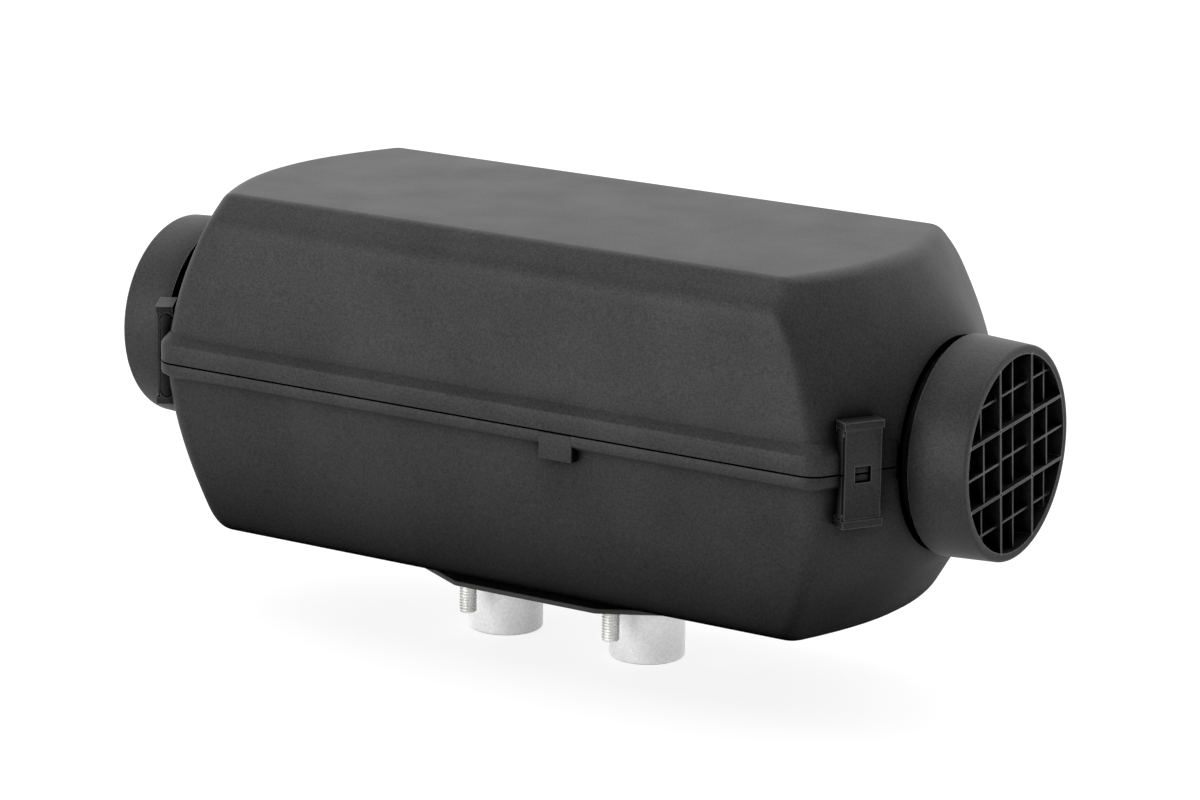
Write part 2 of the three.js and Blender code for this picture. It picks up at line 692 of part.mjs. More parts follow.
/** Rubber grommet in a hole of the casing floor, with a lip on each face of it. */
function grommet({ neck, flange, lip, bore }, place) {
  const [under, over] = [-FLOOR_DEPTH - CLEAR, INNER_FLOOR_Z + CLEAR];
  return turnedUpright(place, [
    [under - lip, bore],
    [under - lip, flange - lip / 2],
    [under, flange],
    [under, neck],
    [over, neck],
    [over, flange],
    [over + lip, flange - lip / 2],
    [over + lip, bore],
  ]);
}

// ---------------------------------------------------------------- duct hoods

/** Quarter round of the ring's front edge, as [x, radius] points. */
function ringRound() {
  const steps = 2;
  return Array.from({ length: steps + 1 }, (_, step) => {
    const angle = (Math.PI / 2) * (1 - step / steps);
    return [
      RING_FACE_X - RING_ROUND + RING_ROUND * Math.cos(angle),
      RING_R - RING_ROUND + RING_ROUND * Math.sin(angle),
    ];
  });
}

/** Guard grille: two main ribs each way, and a finer cross in each of the nine cells. */
function guardGrille() {
  const reach = RING_BORE_R + RING_WALL / 2;
  const rib = (setback, depth) => [RING_FACE_X - setback - depth, RING_FACE_X - setback];
  const ribs = [];
  for (const offset of [-RIB_PITCH, RIB_PITCH]) {
    ribs.push(box(rib(MAIN_RIB_SETBACK, MAIN_RIB_DEPTH), span(offset, MAIN_RIB), [-reach, reach]));
    ribs.push(box(rib(MAIN_RIB_SETBACK, MAIN_RIB_DEPTH), [-reach, reach], span(offset, MAIN_RIB)));
  }
  for (const column of [-1, 0, 1]) {
    for (const row of [-1, 0, 1]) {
      const middle = [column, row].map((cell) => 2 * RIB_PITCH * cell);
      const setback = row === 0 && column !== 0 ? SIDE_CELL_SETBACK : FINE_RIB_SETBACK;
      const depth = rib(setback, FINE_RIB_DEPTH);
      ribs.push(box(depth, span(middle[0], FINE_RIB), span(middle[1], 2 * RIB_PITCH)));
      ribs.push(box(depth, span(middle[0], 2 * RIB_PITCH), span(middle[1], FINE_RIB)));
    }
  }
  return joined(ribs).intersect(rodX(reach, RING_BACK_X, RING_FACE_X, [0, 0], ROUND_SIDES));
}

function hood() {
  const ring = turned([
    [FLANGE_BACK_X, HOOD_BORE_R],
    [FLANGE_BACK_X, FLANGE_R],
    [FLANGE_FRONT_X, FLANGE_R],
    [FLANGE_FRONT_X, HOOD_NECK_R],
    [RING_BACK_X, HOOD_NECK_R],
    [RING_BACK_X, RING_R - RING_CHAMFER],
    [RING_BACK_X + RING_CHAMFER, RING_R],
    ...ringRound(),
    [RING_FACE_X, RING_BORE_R + RING_CHAMFER],
    [RING_FACE_X - RING_CHAMFER, RING_BORE_R],
    [RING_BACK_X + RING_WALL, RING_BORE_R],
    [RING_BACK_X, HOOD_BORE_R],
  ], ROUND_SIDES);
  return ring.add(guardGrille());
}

// ---------------------------------------------------------------- heat exchanger

const boltHoles = (x0, x1) => BOLT_PLACES.map((place) => rodX(BOLT_R + CLEAR, x0, x1, place));

/** Lengthwise fin at an angle round the axis, out to a rounded square that follows the casing. */
function fin(angle) {
  const lean = Math.max(Math.abs(Math.cos(angle)), Math.abs(Math.sin(angle)));
  const tip = Math.min(FIN_TIP / lean, FIN_MAX_R);
  const root = HX_CORE_R - HX_CORE_WALL / 2;
  const start = HX_FACE_X + FIN_START;
  const end = HX_END_X - FIN_END;
  const shape = new THREE.Shape([
    new THREE.Vector2(start, root),
    new THREE.Vector2(end, root),
    new THREE.Vector2(end, HX_CORE_R + FIN_TAPER / 2),
    new THREE.Vector2(end - FIN_TAPER, tip),
    new THREE.Vector2(start + FIN_TAPER / 2, tip),
  ]);
  const geometry = new THREE.ExtrudeGeometry(shape, { depth: FIN_THICK, bevelEnabled: false });
  geometry.translate(0, 0, -FIN_THICK / 2);
  geometry.rotateX(angle);
  return solid(geometry);
}

/** What carries the core on the foot, between two heights: exhaust tower, air channel and two webs. */
function footNeck(z0, z1) {
  const [airX, exhaustX] = SPIGOT_X;
  return [
    rodZ(TOWER_HALF_WIDTH, z0, z1, [exhaustX, 0], MEDIUM_SIDES),
    box([HX_FACE_X, airX + TOWER_HALF_WIDTH], span(0, 2 * TOWER_HALF_WIDTH), [z0, z1]),
    ...SIDES.map((side) => box([airX, exhaustX], span(side * FOOT_WEB_Y, FOOT_WEB), [z0, z1])),
  ];
}

function heatExchanger() {
  const exhaustX = SPIGOT_X[1];
  const core = turned([
    [HX_FACE_X, 0],
    [HX_FACE_X, HX_FLANGE_R],
    [HX_FACE_X + HX_FLANGE_THICK, HX_FLANGE_R],
    [HX_FACE_X + HX_FLANGE_THICK, HX_CORE_R],
    [HX_END_X - HX_DOME, HX_CORE_R],
    [HX_END_X - HX_DOME / 3, HX_CORE_R - HX_DOME / 2],
    [HX_END_X, HX_CORE_R / 2],
    [HX_END_X, 0],
  ], ROUND_SIDES);
  const fins = Array.from({ length: FIN_COUNT }, (_, i) => fin((2 * Math.PI * (i + 0.5)) / FIN_COUNT));
  const plugBoss = rodZ(PLUG_BOSS_R, HX_BORE_R, PLUG_BOSS_Z, [BURNER_HOLE_X, 0], MEDIUM_SIDES);
  const sensorPad = box(span(SENSOR_X, SENSOR_PAD.length), span(0, SENSOR_PAD.width),
    [HX_BORE_R + HX_CORE_WALL / 2, SENSOR_PAD_Z]);
  const sensorRoom = box(span(SENSOR_X, 2 * SENSOR_PAD.length), span(0, SENSOR_PAD.width),
    [SENSOR_PAD_Z, ROOF_Z]);
  const footRoom = box(
    [HX_FACE_X - WALL, exhaustX + TOWER_HALF_WIDTH + FIN_AIR_GAP],
    span(0, 2 * (FOOT_WEB_Y + FOOT_WEB)),
    [FOOT_Z, FOOT_JOINT_Z]);
  const casting = joined([core, ...fins, plugBoss, sensorPad, ...footNeck(FOOT_JOINT_Z, -HX_CORE_R / 2)]);
  return without(casting, [
    sensorRoom,
    footRoom,
    rodX(HX_BORE_R, HX_FACE_X - WALL, HX_BORE_END_X, [0, 0], ROUND_SIDES),
    rodZ(SPIGOT_BORE_R, FOOT_Z, -HX_BORE_R / 2, [exhaustX, 0], MEDIUM_SIDES),
    rodZ(PLUG_R + CLEAR, HX_BORE_R / 2, ROOF_Z, [BURNER_HOLE_X, 0]),
    rod([BURNER_HOLE_X, 0, 0], [BURNER_HOLE_X, HX_CORE_R + WALL, 0], FUEL_PIPE_R + CLEAR),
    ...boltHoles(HX_FACE_X - WALL, HX_FACE_X + 2 * HX_FLANGE_THICK),
  ]);
}

/** Cast foot with both spigots, up to its joint under the heat exchanger. */
function footCasting() {
  const [airX, exhaustX] = SPIGOT_X;
  const top = FOOT_JOINT_Z - CLEAR;
  const casting = joined([
    prism(foot(PLINTH_WALL + CLEAR), FOOT_Z, INNER_FLOOR_Z),
    ...SPIGOT_X.map((x) => rodZ(SPIGOT_R, FACE_Z - SPIGOT_LENGTH, INNER_FLOOR_Z, [x, 0], MEDIUM_SIDES)),
    ...footNeck(INNER_FLOOR_Z - WALL, top),
  ]);
  const channelTop = AIR_CHANNEL_Z + AIR_CHANNEL_HEIGHT;
  const below = FACE_Z - 2 * SPIGOT_LENGTH;
  return without(casting, [
    rodZ(SPIGOT_BORE_R, below, channelTop, [airX, 0], MEDIUM_SIDES),
    rodZ(SPIGOT_BORE_R, below, top + WALL, [exhaustX, 0], MEDIUM_SIDES),
    box([HX_FACE_X - WALL, airX], span(0, 2 * AIR_CHANNEL_HALF_WIDTH), [AIR_CHANNEL_Z, channelTop]),
    ...STUD_PLACES.map((place) => rodZ(STUD_R + CLEAR, FOOT_Z - WALL, FOOT_Z + STUD_GRIP + CLEAR, place)),
  ]);
}

function footStud([x, y]) {
  return turnedUpright([x, y], [
    [FACE_Z - STUD_LENGTH, 0],
    [FACE_Z - STUD_LENGTH, STUD_R - STUD_CHAMFER],
    [FACE_Z - STUD_LENGTH + STUD_CHAMFER, STUD_R],
    [FOOT_Z + STUD_GRIP, STUD_R],
    [FOOT_Z + STUD_GRIP, 0],
  ]);
}

// ---------------------------------------------------------------- burner

function combustionChamber() {
  const body = turned([
    [CHAMBER_FACE_X, AIR_HOLE_R],
    [CHAMBER_FACE_X, HX_BORE_R - CLEAR],
    [CHAMBER_FACE_X + CHAMBER_PLATE, HX_BORE_R - CLEAR],
    [CHAMBER_FACE_X + CHAMBER_PLATE, CHAMBER_R],
    [CHAMBER_END_X, CHAMBER_R],
    [CHAMBER_END_X, CHAMBER_BORE_R],
    [CHAMBER_BACK_X, CHAMBER_BORE_R],
    [CHAMBER_BACK_X, AIR_HOLE_R],
  ]);
  const swirlHoles = SWIRL_ROWS.flatMap((along) => Array.from({ length: SWIRL_HOLES }, (_, i) => {
    const x = CHAMBER_FACE_X + along;
    const [y, z] = onCircle(CHAMBER_R + WALL, (360 * (i + 0.5)) / SWIRL_HOLES);
    return rod([x, 0, 0], [x, y, z], SWIRL_HOLE_R, HEX_SIDES);
  }));
  return without(body, [
    ...swirlHoles,
    rod([BURNER_HOLE_X, 0, 0], [BURNER_HOLE_X, 0, HX_BORE_R], SCREEN_R + CLEAR),
    rod([BURNER_HOLE_X, 0, 0], [BURNER_HOLE_X, HX_BORE_R, 0], FUEL_PIPE_R + CLEAR),
  ]);
}

function flameTube() {
  const inner = CHAMBER_R + CLEAR;
  const [start, end] = [CHAMBER_END_X - FLAME_TUBE_LAP, HX_BORE_END_X - FLAME_TURN];
  return turned([[start, inner], [start, inner + CHAMBER_WALL], [end, inner + CHAMBER_WALL], [end, inner]]);
}

function evaporatorMat() {
  const start = CHAMBER_BACK_X + CLEAR;
  return turned([
    [start, AIR_HOLE_R],
    [start, CHAMBER_BORE_R - CLEAR],
    [start + MAT_THICK, CHAMBER_BORE_R - CLEAR],
    [start + MAT_THICK, AIR_HOLE_R],
  ]);
}

function glowPlug() {
  const hexZ = PLUG_BOSS_Z + CLEAR;
  const stem = turnedUpright([BURNER_HOLE_X, 0], [
    [PLUG_TIP_Z, 0],
    [PLUG_TIP_Z, PLUG_TIP_R],
    [SCREEN_TOP_Z + CLEAR, PLUG_TIP_R],
    [SCREEN_TOP_Z + CLEAR, PLUG_R],
    [hexZ + PLUG_HEX_HEIGHT / 2, PLUG_R],
    [hexZ + PLUG_HEX_HEIGHT + PLUG_TERMINAL, PLUG_TIP_R],
    [hexZ + PLUG_HEX_HEIGHT + PLUG_TERMINAL, 0],
  ]);
  return stem.add(rodZ(PLUG_HEX_R, hexZ, hexZ + PLUG_HEX_HEIGHT, [BURNER_HOLE_X, 0], HEX_SIDES));
}

/** Fine sleeve round the plug's glowing tip, with a collar under the plug's thread. */
function glowPlugScreen() {
  const collar = SCREEN_TOP_Z - SCREEN_WALL;
  return turnedUpright([BURNER_HOLE_X, 0], [
    [PLUG_TIP_Z, PLUG_TIP_R + CLEAR],
    [PLUG_TIP_Z, SCREEN_R],
    [collar, SCREEN_R],
    [collar, PLUG_R],
    [SCREEN_TOP_Z, PLUG_R],
    [SCREEN_TOP_Z, PLUG_TIP_R + CLEAR],
  ]);
}

/** Fuel pipe: out of the chamber's side, round one bend and down through the floor. */
function fuelPipe() {
  const at = (y, z) => new THREE.Vector3(BURNER_HOLE_X, y, z);
  const [bendStart, bendEnd] = [at(FUEL_PIPE_Y - FUEL_PIPE_BEND, 0), at(FUEL_PIPE_Y, -FUEL_PIPE_BEND)];
  const route = new THREE.CurvePath();
  route.add(new THREE.LineCurve3(at(CHAMBER_BORE_R, 0), bendStart));
  route.add(new THREE.QuadraticBezierCurve3(bendStart, at(FUEL_PIPE_Y, 0), bendEnd));
  route.add(new THREE.LineCurve3(bendEnd, at(FUEL_PIPE_Y, FACE_Z - FUEL_PIPE_LENGTH)));
  const section = new THREE.Shape().absarc(0, 0, FUEL_PIPE_R, 0, 2 * Math.PI);
  section.holes.push(new THREE.Path().absarc(0, 0, FUEL_PIPE_BORE_R, 0, 2 * Math.PI));
  return solid(new THREE.ExtrudeGeometry(section, { steps: 14, curveSegments: 4, extrudePath: route }));
}

function overheatSensor() {
  const base = SENSOR_PAD_Z + CLEAR;
  return box(span(SENSOR_X, SENSOR.length), span(0, SENSOR.width), [base, base + SENSOR.height]);
}

/** Bent spring strip over the sensor, with a foot on the pad at each side. */
function sensorSpring() {
  const base = SENSOR_PAD_Z + CLEAR;
  const inside = { width: SENSOR.width + 2 * CLEAR, top: base + SENSOR.height + CLEAR };
  const strip = span(SENSOR_X, SENSOR.width);
  const cut = span(SENSOR_X, SENSOR.width + 2 * SPRING);
  return joined([
    box(strip, span(0, inside.width + 2 * SPRING), [base, inside.top + SPRING]),
    box(strip, span(0, SENSOR_PAD.width - 2 * CLEAR), [base, base + SPRING]),
  ]).subtract(box(cut, span(0, inside.width), [base - SPRING, inside.top]));
}

// ---------------------------------------------------------------- blower

/** Round plate with the lobe at its foot that carries the combustion-air port. */
function portedPlate(x0, x1) {
  const lobe = box([x0, x1], span(0, 2 * TOWER_HALF_WIDTH), [INNER_FLOOR_Z + CLEAR, -HX_CORE_R]);
  return rodX(HX_FLANGE_R, x0, x1, [0, 0], MEDIUM_SIDES).add(lobe);
}

function airPort(x0, x1, top = AIR_CHANNEL_Z + AIR_CHANNEL_HEIGHT) {
  return box([x0, x1], span(0, 2 * AIR_CHANNEL_HALF_WIDTH), [AIR_CHANNEL_Z + CLEAR, top]);
}

function burnerGasket() {
  const [front, back] = [COVER_BACK_X + CLEAR, HX_FACE_X - CLEAR];
  return without(portedPlate(front, back), [
    rodX(CHAMBER_R, front - WALL, back + WALL, [0, 0], MEDIUM_SIDES),
    airPort(front - WALL, back + WALL),
    ...boltHoles(front - WALL, back + WALL),
  ]);
}

/** Half of the side channel, sunk into a face at `x`. */
function sideChannel(x, depth) {
  return turned([
    [x - depth, CHANNEL_INNER_R],
    [x - depth, IMPELLER_R],
    [x + depth, IMPELLER_R],
    [x + depth, CHANNEL_INNER_R],
  ]);
}

function blowerCover() {
  return without(portedPlate(COVER_FRONT_X, COVER_BACK_X), [
    sideChannel(COVER_FRONT_X, CHANNEL_DEPTH),
    rodX(AIR_HOLE_R, COVER_FRONT_X - WALL, COVER_BACK_X + WALL),
    airPort(COVER_FRONT_X - WALL, COVER_BACK_X + WALL),
    ...boltHoles(COVER_FRONT_X - WALL, COVER_BACK_X + WALL),
  ]);
}

function blowerHousing() {
  const pocketFront = IMPELLER_FRONT_X - RUNNING_GAP;
  return without(portedPlate(HOUSING_FRONT_X, HOUSING_BACK_X), [
    rodX(IMPELLER_R + RUNNING_GAP, pocketFront, HOUSING_BACK_X + WALL, [0, 0], MEDIUM_SIDES),
    sideChannel(pocketFront, CHANNEL_DEPTH),
    rodX(BEARING_R + CLEAR, HOUSING_FRONT_X - WALL, HOUSING_BACK_X, [0, 0], MEDIUM_SIDES),
    airPort(pocketFront, HOUSING_BACK_X + WALL, -IMPELLER_R + RUNNING_GAP),
    ...boltHoles(HOUSING_FRONT_X - WALL, HOUSING_BACK_X + WALL),
  ]);
}

function blowerBolt(place) {
  const headX = HOUSING_FRONT_X - CLEAR;
  return rodX(BOLT_R, headX - BOLT_HEAD / 2, HX_FACE_X + HX_FLANGE_THICK, place)
    .add(rodX(BOLT_HEAD_R, headX - BOLT_HEAD, headX, place, HEX_SIDES));
}

function bearing(x0, x1) {
  return turned([[x0, SHAFT_R + CLEAR], [x0, BEARING_R], [x1, BEARING_R], [x1, SHAFT_R + CLEAR]]);
}

function motorCan() {
  const inner = MOTOR_R - MOTOR_WALL;
  return turned([
    [MOTOR_FRONT_X, inner],
    [MOTOR_FRONT_X, MOTOR_R],
    [MOTOR_BACK_X, MOTOR_R],
    [MOTOR_BACK_X, BEARING_R],
    [MOTOR_BACK_X - MOTOR_WALL, BEARING_R],
    [MOTOR_BACK_X - MOTOR_WALL, inner],
  ]);
}

const MOTOR_MIDDLE_X = (MOTOR_FRONT_X + MOTOR_BACK_X) / 2;

function motorMagnets() {
  const outer = MOTOR_R - MOTOR_WALL - CLEAR;
  const half = ARMATURE_LENGTH / 2;
  return turned([
    [MOTOR_MIDDLE_X - half, outer - MAGNET_WALL],
    [MOTOR_MIDDLE_X - half, outer],
    [MOTOR_MIDDLE_X + half, outer],
    [MOTOR_MIDDLE_X + half, outer - MAGNET_WALL],
  ]);
}

/** Laminated core with a rounded winding head at each end. */
function armature() {
  const outer = MOTOR_R - MOTOR_WALL - CLEAR - MAGNET_WALL - RUNNING_GAP;
  const half = ARMATURE_LENGTH / 2;
  const halfProfile = [
    [half, SHAFT_R + CLEAR],
    [half, outer - WINDING_LENGTH - WINDING_STEP],
    [half - WINDING_LENGTH, outer - WINDING_STEP],
    [half - WINDING_LENGTH, outer],
  ];
  return turned([
    ...halfProfile.map(([along, radius]) => [MOTOR_MIDDLE_X - along, radius]),
    ...halfProfile.map(([along, radius]) => [MOTOR_MIDDLE_X + along, radius]).reverse(),
  ]);
}

function motorEndCap() {
  return turned([
    [CAP_FRONT_X, BEARING_R + CLEAR],
    [CAP_FRONT_X, MOTOR_R - END_CAP_CHAMFER],
    [CAP_FRONT_X + END_CAP_CHAMFER, MOTOR_R],
    [CAP_BACK_X, MOTOR_R],
    [CAP_BACK_X, BEARING_R + CLEAR],
  ]);
}

function motorShaft() {
  return rodX(SHAFT_R, FAN_BACK_X - FAN_SOCKET + CLEAR, IMPELLER_BACK_X);
}

function speedMagnet() {
  const front = SPEED_MAGNET_X - SPEED_MAGNET.width;
  return turned([
    [front, SHAFT_R + CLEAR],
    [front, SPEED_MAGNET.radius],
    [SPEED_MAGNET_X, SPEED_MAGNET.radius],
    [SPEED_MAGNET_X, SHAFT_R + CLEAR],
  ], SMALL_SIDES);
}

/** Combustion-air impeller: a disc whose rim is cut into short vanes on both faces. */
function airImpeller() {
  const middle = (IMPELLER_FRONT_X + IMPELLER_BACK_X) / 2;
  const web = IMPELLER_THICK / 6;
  const disc = turned([
    [IMPELLER_FRONT_X, SHAFT_R + CLEAR],
    [IMPELLER_FRONT_X, IMPELLER_HUB_R],
    [middle - web, IMPELLER_HUB_R + web],
    [middle - web, IMPELLER_R - web],
    [middle + web, IMPELLER_R - web],
    [middle + web, IMPELLER_HUB_R + web],
    [IMPELLER_BACK_X, IMPELLER_HUB_R],
    [IMPELLER_BACK_X, SHAFT_R + CLEAR],
  ]);
  const vanes = Array.from({ length: IMPELLER_VANES }, (_, i) => {
    const geometry = new THREE.BoxGeometry(IMPELLER_THICK, IMPELLER_R - CHANNEL_INNER_R, web);
    geometry.translate(middle, (IMPELLER_R + CHANNEL_INNER_R) / 2, 0);
    geometry.rotateX((2 * Math.PI * i) / IMPELLER_VANES);
    return solid(geometry);
  });
  return joined([disc, ...vanes]);
}

/** One blade: cambered sections from the hub to the tip, laid over more and more towards the tip. */
function fanBlade(turn) {
  const { lerp, degToRad } = THREE.MathUtils;
  const middle = FAN_BACK_X - FAN_LENGTH / 2;
  const stations = 2;
  const sections = Array.from({ length: stations + 1 }, (_, i) => {
    const share = i / stations;
    const radius = lerp(FAN_HUB_R - BLADE_ROOTED, FAN_R, share);
    const chord = lerp(BLADE_ROOT_CHORD, BLADE_TIP_CHORD, share);
    const stagger = degToRad(lerp(BLADE_ROOT_STAGGER, BLADE_TIP_STAGGER, share));
    return bladeSection(chord).map(([along, off]) => {
      const x = middle + along * Math.cos(stagger) + off * Math.sin(stagger);
      const angle = turn + (along * Math.sin(stagger) - off * Math.cos(stagger)) / radius;
      return [x, radius * Math.cos(angle), radius * Math.sin(angle)];
    });
  });
  return loft(sections);
}

/** Thin cambered section, as [along the chord, off the chord] points round its edge. */
function bladeSection(chord) {
  const places = [-0.5, 0, 0.5];
  const camber = (share) => BLADE_CAMBER * (1 - 4 * share * share);
  const edge = (side) => places.map((share) => [share * chord, camber(share) + (side * BLADE_THICK) / 2]);
  return [...edge(1), ...edge(-1).reverse()];
}

function fanWheel() {
  const hub = turned([
    [FAN_FRONT_X, 0],
    [FAN_FRONT_X, FAN_NOSE_R],
    [FAN_FRONT_X + FAN_LENGTH / 4, (FAN_NOSE_R + FAN_HUB_R) / 2],
    [FAN_BACK_X, FAN_HUB_R],
    [FAN_BACK_X, 0],
  ]);
  const blades = Array.from({ length: FAN_BLADES }, (_, i) => fanBlade((2 * Math.PI * i) / FAN_BLADES));
  return joined([hub, ...blades]).subtract(rodX(SHAFT_R + CLEAR, FAN_BACK_X - FAN_SOCKET, FAN_BACK_X + WALL));
}

// ---------------------------------------------------------------- control unit

/** Block in the control unit's outline, drawn in by `inset`. */
function controlBox(inset, [z0, z1]) {
  const width = 2 * (CONTROL_HALF_WIDTH - inset);
  return box(span(CONTROL_X, CONTROL_LENGTH - 2 * inset), span(0, width), [z0, z1]);
}

function controlCase() {
  const outer = controlBox(0, [CONTROL_Z, CONTROL_Z + CONTROL_HEIGHT]);
  const inner = controlBox(CONTROL_WALL, [CONTROL_Z + CONTROL_WALL, CONTROL_Z + 2 * CONTROL_HEIGHT]);
  const postTop = CONTROL_Z + CONTROL_WALL + BOARD_STANDOFF;
  const [halfLength, halfWidth] = [CONTROL_LENGTH / 2 - POST_INSET, CONTROL_HALF_WIDTH - POST_INSET];
  const posts = ENDS.flatMap((end) => SIDES.map((side) => rodZ(
    CONTROL_WALL, CONTROL_Z, postTop, [CONTROL_X + end * halfLength, side * halfWidth], HEX_SIDES)));
  return outer.subtract(inner).add(joined(posts));
}

function circuitBoard() {
  return controlBox(CONTROL_WALL + CLEAR, [BOARD_Z, BOARD_Z + BOARD]);
}

function harnessHeader() {
  const y = CONTROL_HALF_WIDTH / 2;
  const z = BOARD_Z + BOARD + CLEAR;
  const { length, width, height, wall } = HEADER;
  const block = box(span(CONTROL_X, length), span(y, width), [z, z + height]);
  const socket = box(span(CONTROL_X, length - 2 * wall), span(y, width - 2 * wall),
    [z + wall, z + 2 * height]);
  return block.subtract(socket);
}

function controlCover() {
  const z = CONTROL_Z + CONTROL_HEIGHT + CLEAR;
  return controlBox(0, [z, z + CONTROL_COVER]).add(controlBox(CONTROL_WALL + CLEAR, [z - CONTROL_COVER, z]));
}

// ---------------------------------------------------------------- materials

function finish(color, roughness, metalness) {
  return new THREE.MeshStandardMaterial({ color, roughness, metalness });
}

const casingPlastic = finish(0x3b3b3c, 0.72, 0);
const clipPlastic = finish(0x232324, 0.5, 0);
const castAluminium = finish(0xb9babb, 0.5, 0.9);
const steel = finish(0xa9abad, 0.35, 1);
const zincPlate = finish(0xc9cac8, 0.35, 1);
const rubber = finish(0x1c1c1c, 0.9, 0);
const gasketFibre = finish(0x4a4a4c, 0.9, 0);
const whitePlastic = finish(0xd9d8d2, 0.5, 0);
const copper = finish(0x9c5a34, 0.45, 0.8);
const magnetFerrite = finish(0x3a3633, 0.8, 0.1);
const boardGreen = finish(0x1f4d2e, 0.6, 0);
const sinteredMetal = finish(0x77736c, 0.95, 0.5);

// ---------------------------------------------------------------- assembly

const heater = new THREE.Group();
heater.position.z = AXIS_HEIGHT;

function add(name, body, material) {
  const { vertProperties, triVerts } = body.getMesh();
  const geometry = new THREE.BufferGeometry();
  geometry.setAttribute('position', new THREE.Float32BufferAttribute(Float32Array.from(vertProperties), 3));
  geometry.setIndex(new THREE.Uint32BufferAttribute(Uint32Array.from(triVerts), 1));
  const mesh = new THREE.Mesh(toCreasedNormals(geometry, CREASE), material);
  mesh.name = name;
  heater.add(mesh);
  return mesh;
}

add('upper_shell', upperShell(), casingPlastic);
add('lower_shell', lowerShell(), casingPlastic);
add('outlet_hood', hood(), casingPlastic);
add('inlet_hood', hood(), casingPlastic).rotation.z = Math.PI;

for (const [end, endName] of [[1, 'outlet'], [-1, 'inlet']]) {
  for (const [side, sideName] of [[-1, 'front'], [1, 'rear']]) {
    const clip = add(`clip_${sideName}_${endName}`, clipSolid(), clipPlastic);
    const { position, heading } = clipPlace(end, side);
    clip.position.copy(position);
    clip.rotation.z = heading;
  }
}

add('foot_gasket', footGasket(), rubber);
add('cable_grommet', grommet(CABLE_GROMMET, [CABLE_GROMMET.x, CABLE_GROMMET.y]), rubber);
const fuelGrommet = { ...FUEL_GROMMET, bore: FUEL_PIPE_R + CLEAR };
add('fuel_pipe_grommet', grommet(fuelGrommet, [BURNER_HOLE_X, FUEL_PIPE_Y]), rubber);

add('heat_exchanger', heatExchanger(), castAluminium);
add('foot_casting', footCasting(), castAluminium);
STUD_PLACES.forEach((place, i) => add(`foot_stud_${i + 1}`, footStud(place), zincPlate));
add('combustion_chamber', combustionChamber(), steel);
add('flame_tube', flameTube(), steel);
add('evaporator_mat', evaporatorMat(), sinteredMetal);
add('glow_plug', glowPlug(), steel);
add('glow_plug_screen', glowPlugScreen(), steel);
add('fuel_pipe', fuelPipe(), steel);
add('overheat_sensor', overheatSensor(), whitePlastic);
add('sensor_spring_clip', sensorSpring(), steel);

add('burner_gasket', burnerGasket(), gasketFibre);
add('blower_cover', blowerCover(), castAluminium);
add('blower_housing', blowerHousing(), castAluminium);
BOLT_PLACES.forEach((place, i) => add(`blower_bolt_${i + 1}`, blowerBolt(place), zincPlate));
add('motor_can', motorCan(), zincPlate);
add('motor_magnets', motorMagnets(), magnetFerrite);
add('motor_end_cap', motorEndCap(), clipPlastic);
add('blower_side_bearing', bearing(HOUSING_FRONT_X, HOUSING_FRONT_X + BEARING_WIDTH), steel);
add('fan_side_bearing', bearing(CAP_FRONT_X, CAP_BACK_X), steel);
add('motor_shaft', motorShaft(), steel);
add('armature', armature(), copper);
add('air_impeller', airImpeller(), castAluminium);
add('speed_magnet', speedMagnet(), magnetFerrite);
add('fan_wheel', fanWheel(), clipPlastic);

add('control_case', controlCase(), castAluminium);
add('circuit_board', circuitBoard(), boardGreen);
add('harness_header', harnessHeader(), whitePlastic);
add('control_cover', controlCover(), clipPlastic);

export default heater;
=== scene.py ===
# Looks of the diesel air heater: fine casing, hoods, clips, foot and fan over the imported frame.
#
# Shapes are written in millimetres about the duct axis and turned into the frame's metres in one place.

import json
import math

import bmesh
import bpy
from mathutils import Matrix, Vector


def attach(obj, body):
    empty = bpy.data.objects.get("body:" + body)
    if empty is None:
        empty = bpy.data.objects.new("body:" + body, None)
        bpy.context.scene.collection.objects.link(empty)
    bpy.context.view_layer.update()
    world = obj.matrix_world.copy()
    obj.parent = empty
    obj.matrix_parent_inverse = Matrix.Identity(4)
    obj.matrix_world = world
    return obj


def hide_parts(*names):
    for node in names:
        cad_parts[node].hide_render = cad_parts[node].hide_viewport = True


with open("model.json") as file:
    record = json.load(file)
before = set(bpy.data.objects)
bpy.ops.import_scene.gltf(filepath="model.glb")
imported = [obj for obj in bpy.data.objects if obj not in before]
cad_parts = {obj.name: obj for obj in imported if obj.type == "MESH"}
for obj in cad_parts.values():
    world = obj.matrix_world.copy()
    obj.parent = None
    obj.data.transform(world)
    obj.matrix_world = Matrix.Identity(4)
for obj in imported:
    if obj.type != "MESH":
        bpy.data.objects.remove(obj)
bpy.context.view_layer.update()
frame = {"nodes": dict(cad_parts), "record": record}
nodes = frame["nodes"]

# ------------------------------------------------------------------ sizes
#
# A size that the CAD source names too has the same value there, except for the duct rings and their grilles,
# which follow the photo more closely here. Curves are cut into finer steps than there.

MM = 0.001
MERGE_DISTANCE = 1e-6             # in metres
AXIS_HEIGHT = 68.0
CLEAR = 0.3

ROOF_Z, ROOF_HALF_WIDTH, ROOF_EDGE_R = 58.3, 48.8, 4.0
BEVEL_Z, BEVEL_HALF_WIDTH, BEVEL_EDGE_R = 49.5, 57.5, 12.0
SEAM_HALF_WIDTH, SEAM_EDGE_R = 60.8, 6.0
FLOOR_DEPTH, FLOOR_HALF_WIDTH, FLOOR_EDGE_R = 60.0, 51.3, 9.0
WALL = 2.2
ROOF_MID_X, ROOF_CORNER_X, BEVEL_X = 122.0, 109.3, 110.6
SEAM_X, FLOOR_CORNER_X, FLOOR_MID_X = 125.7, 111.4, 123.5
SHOULDER_SOFT = 4.5

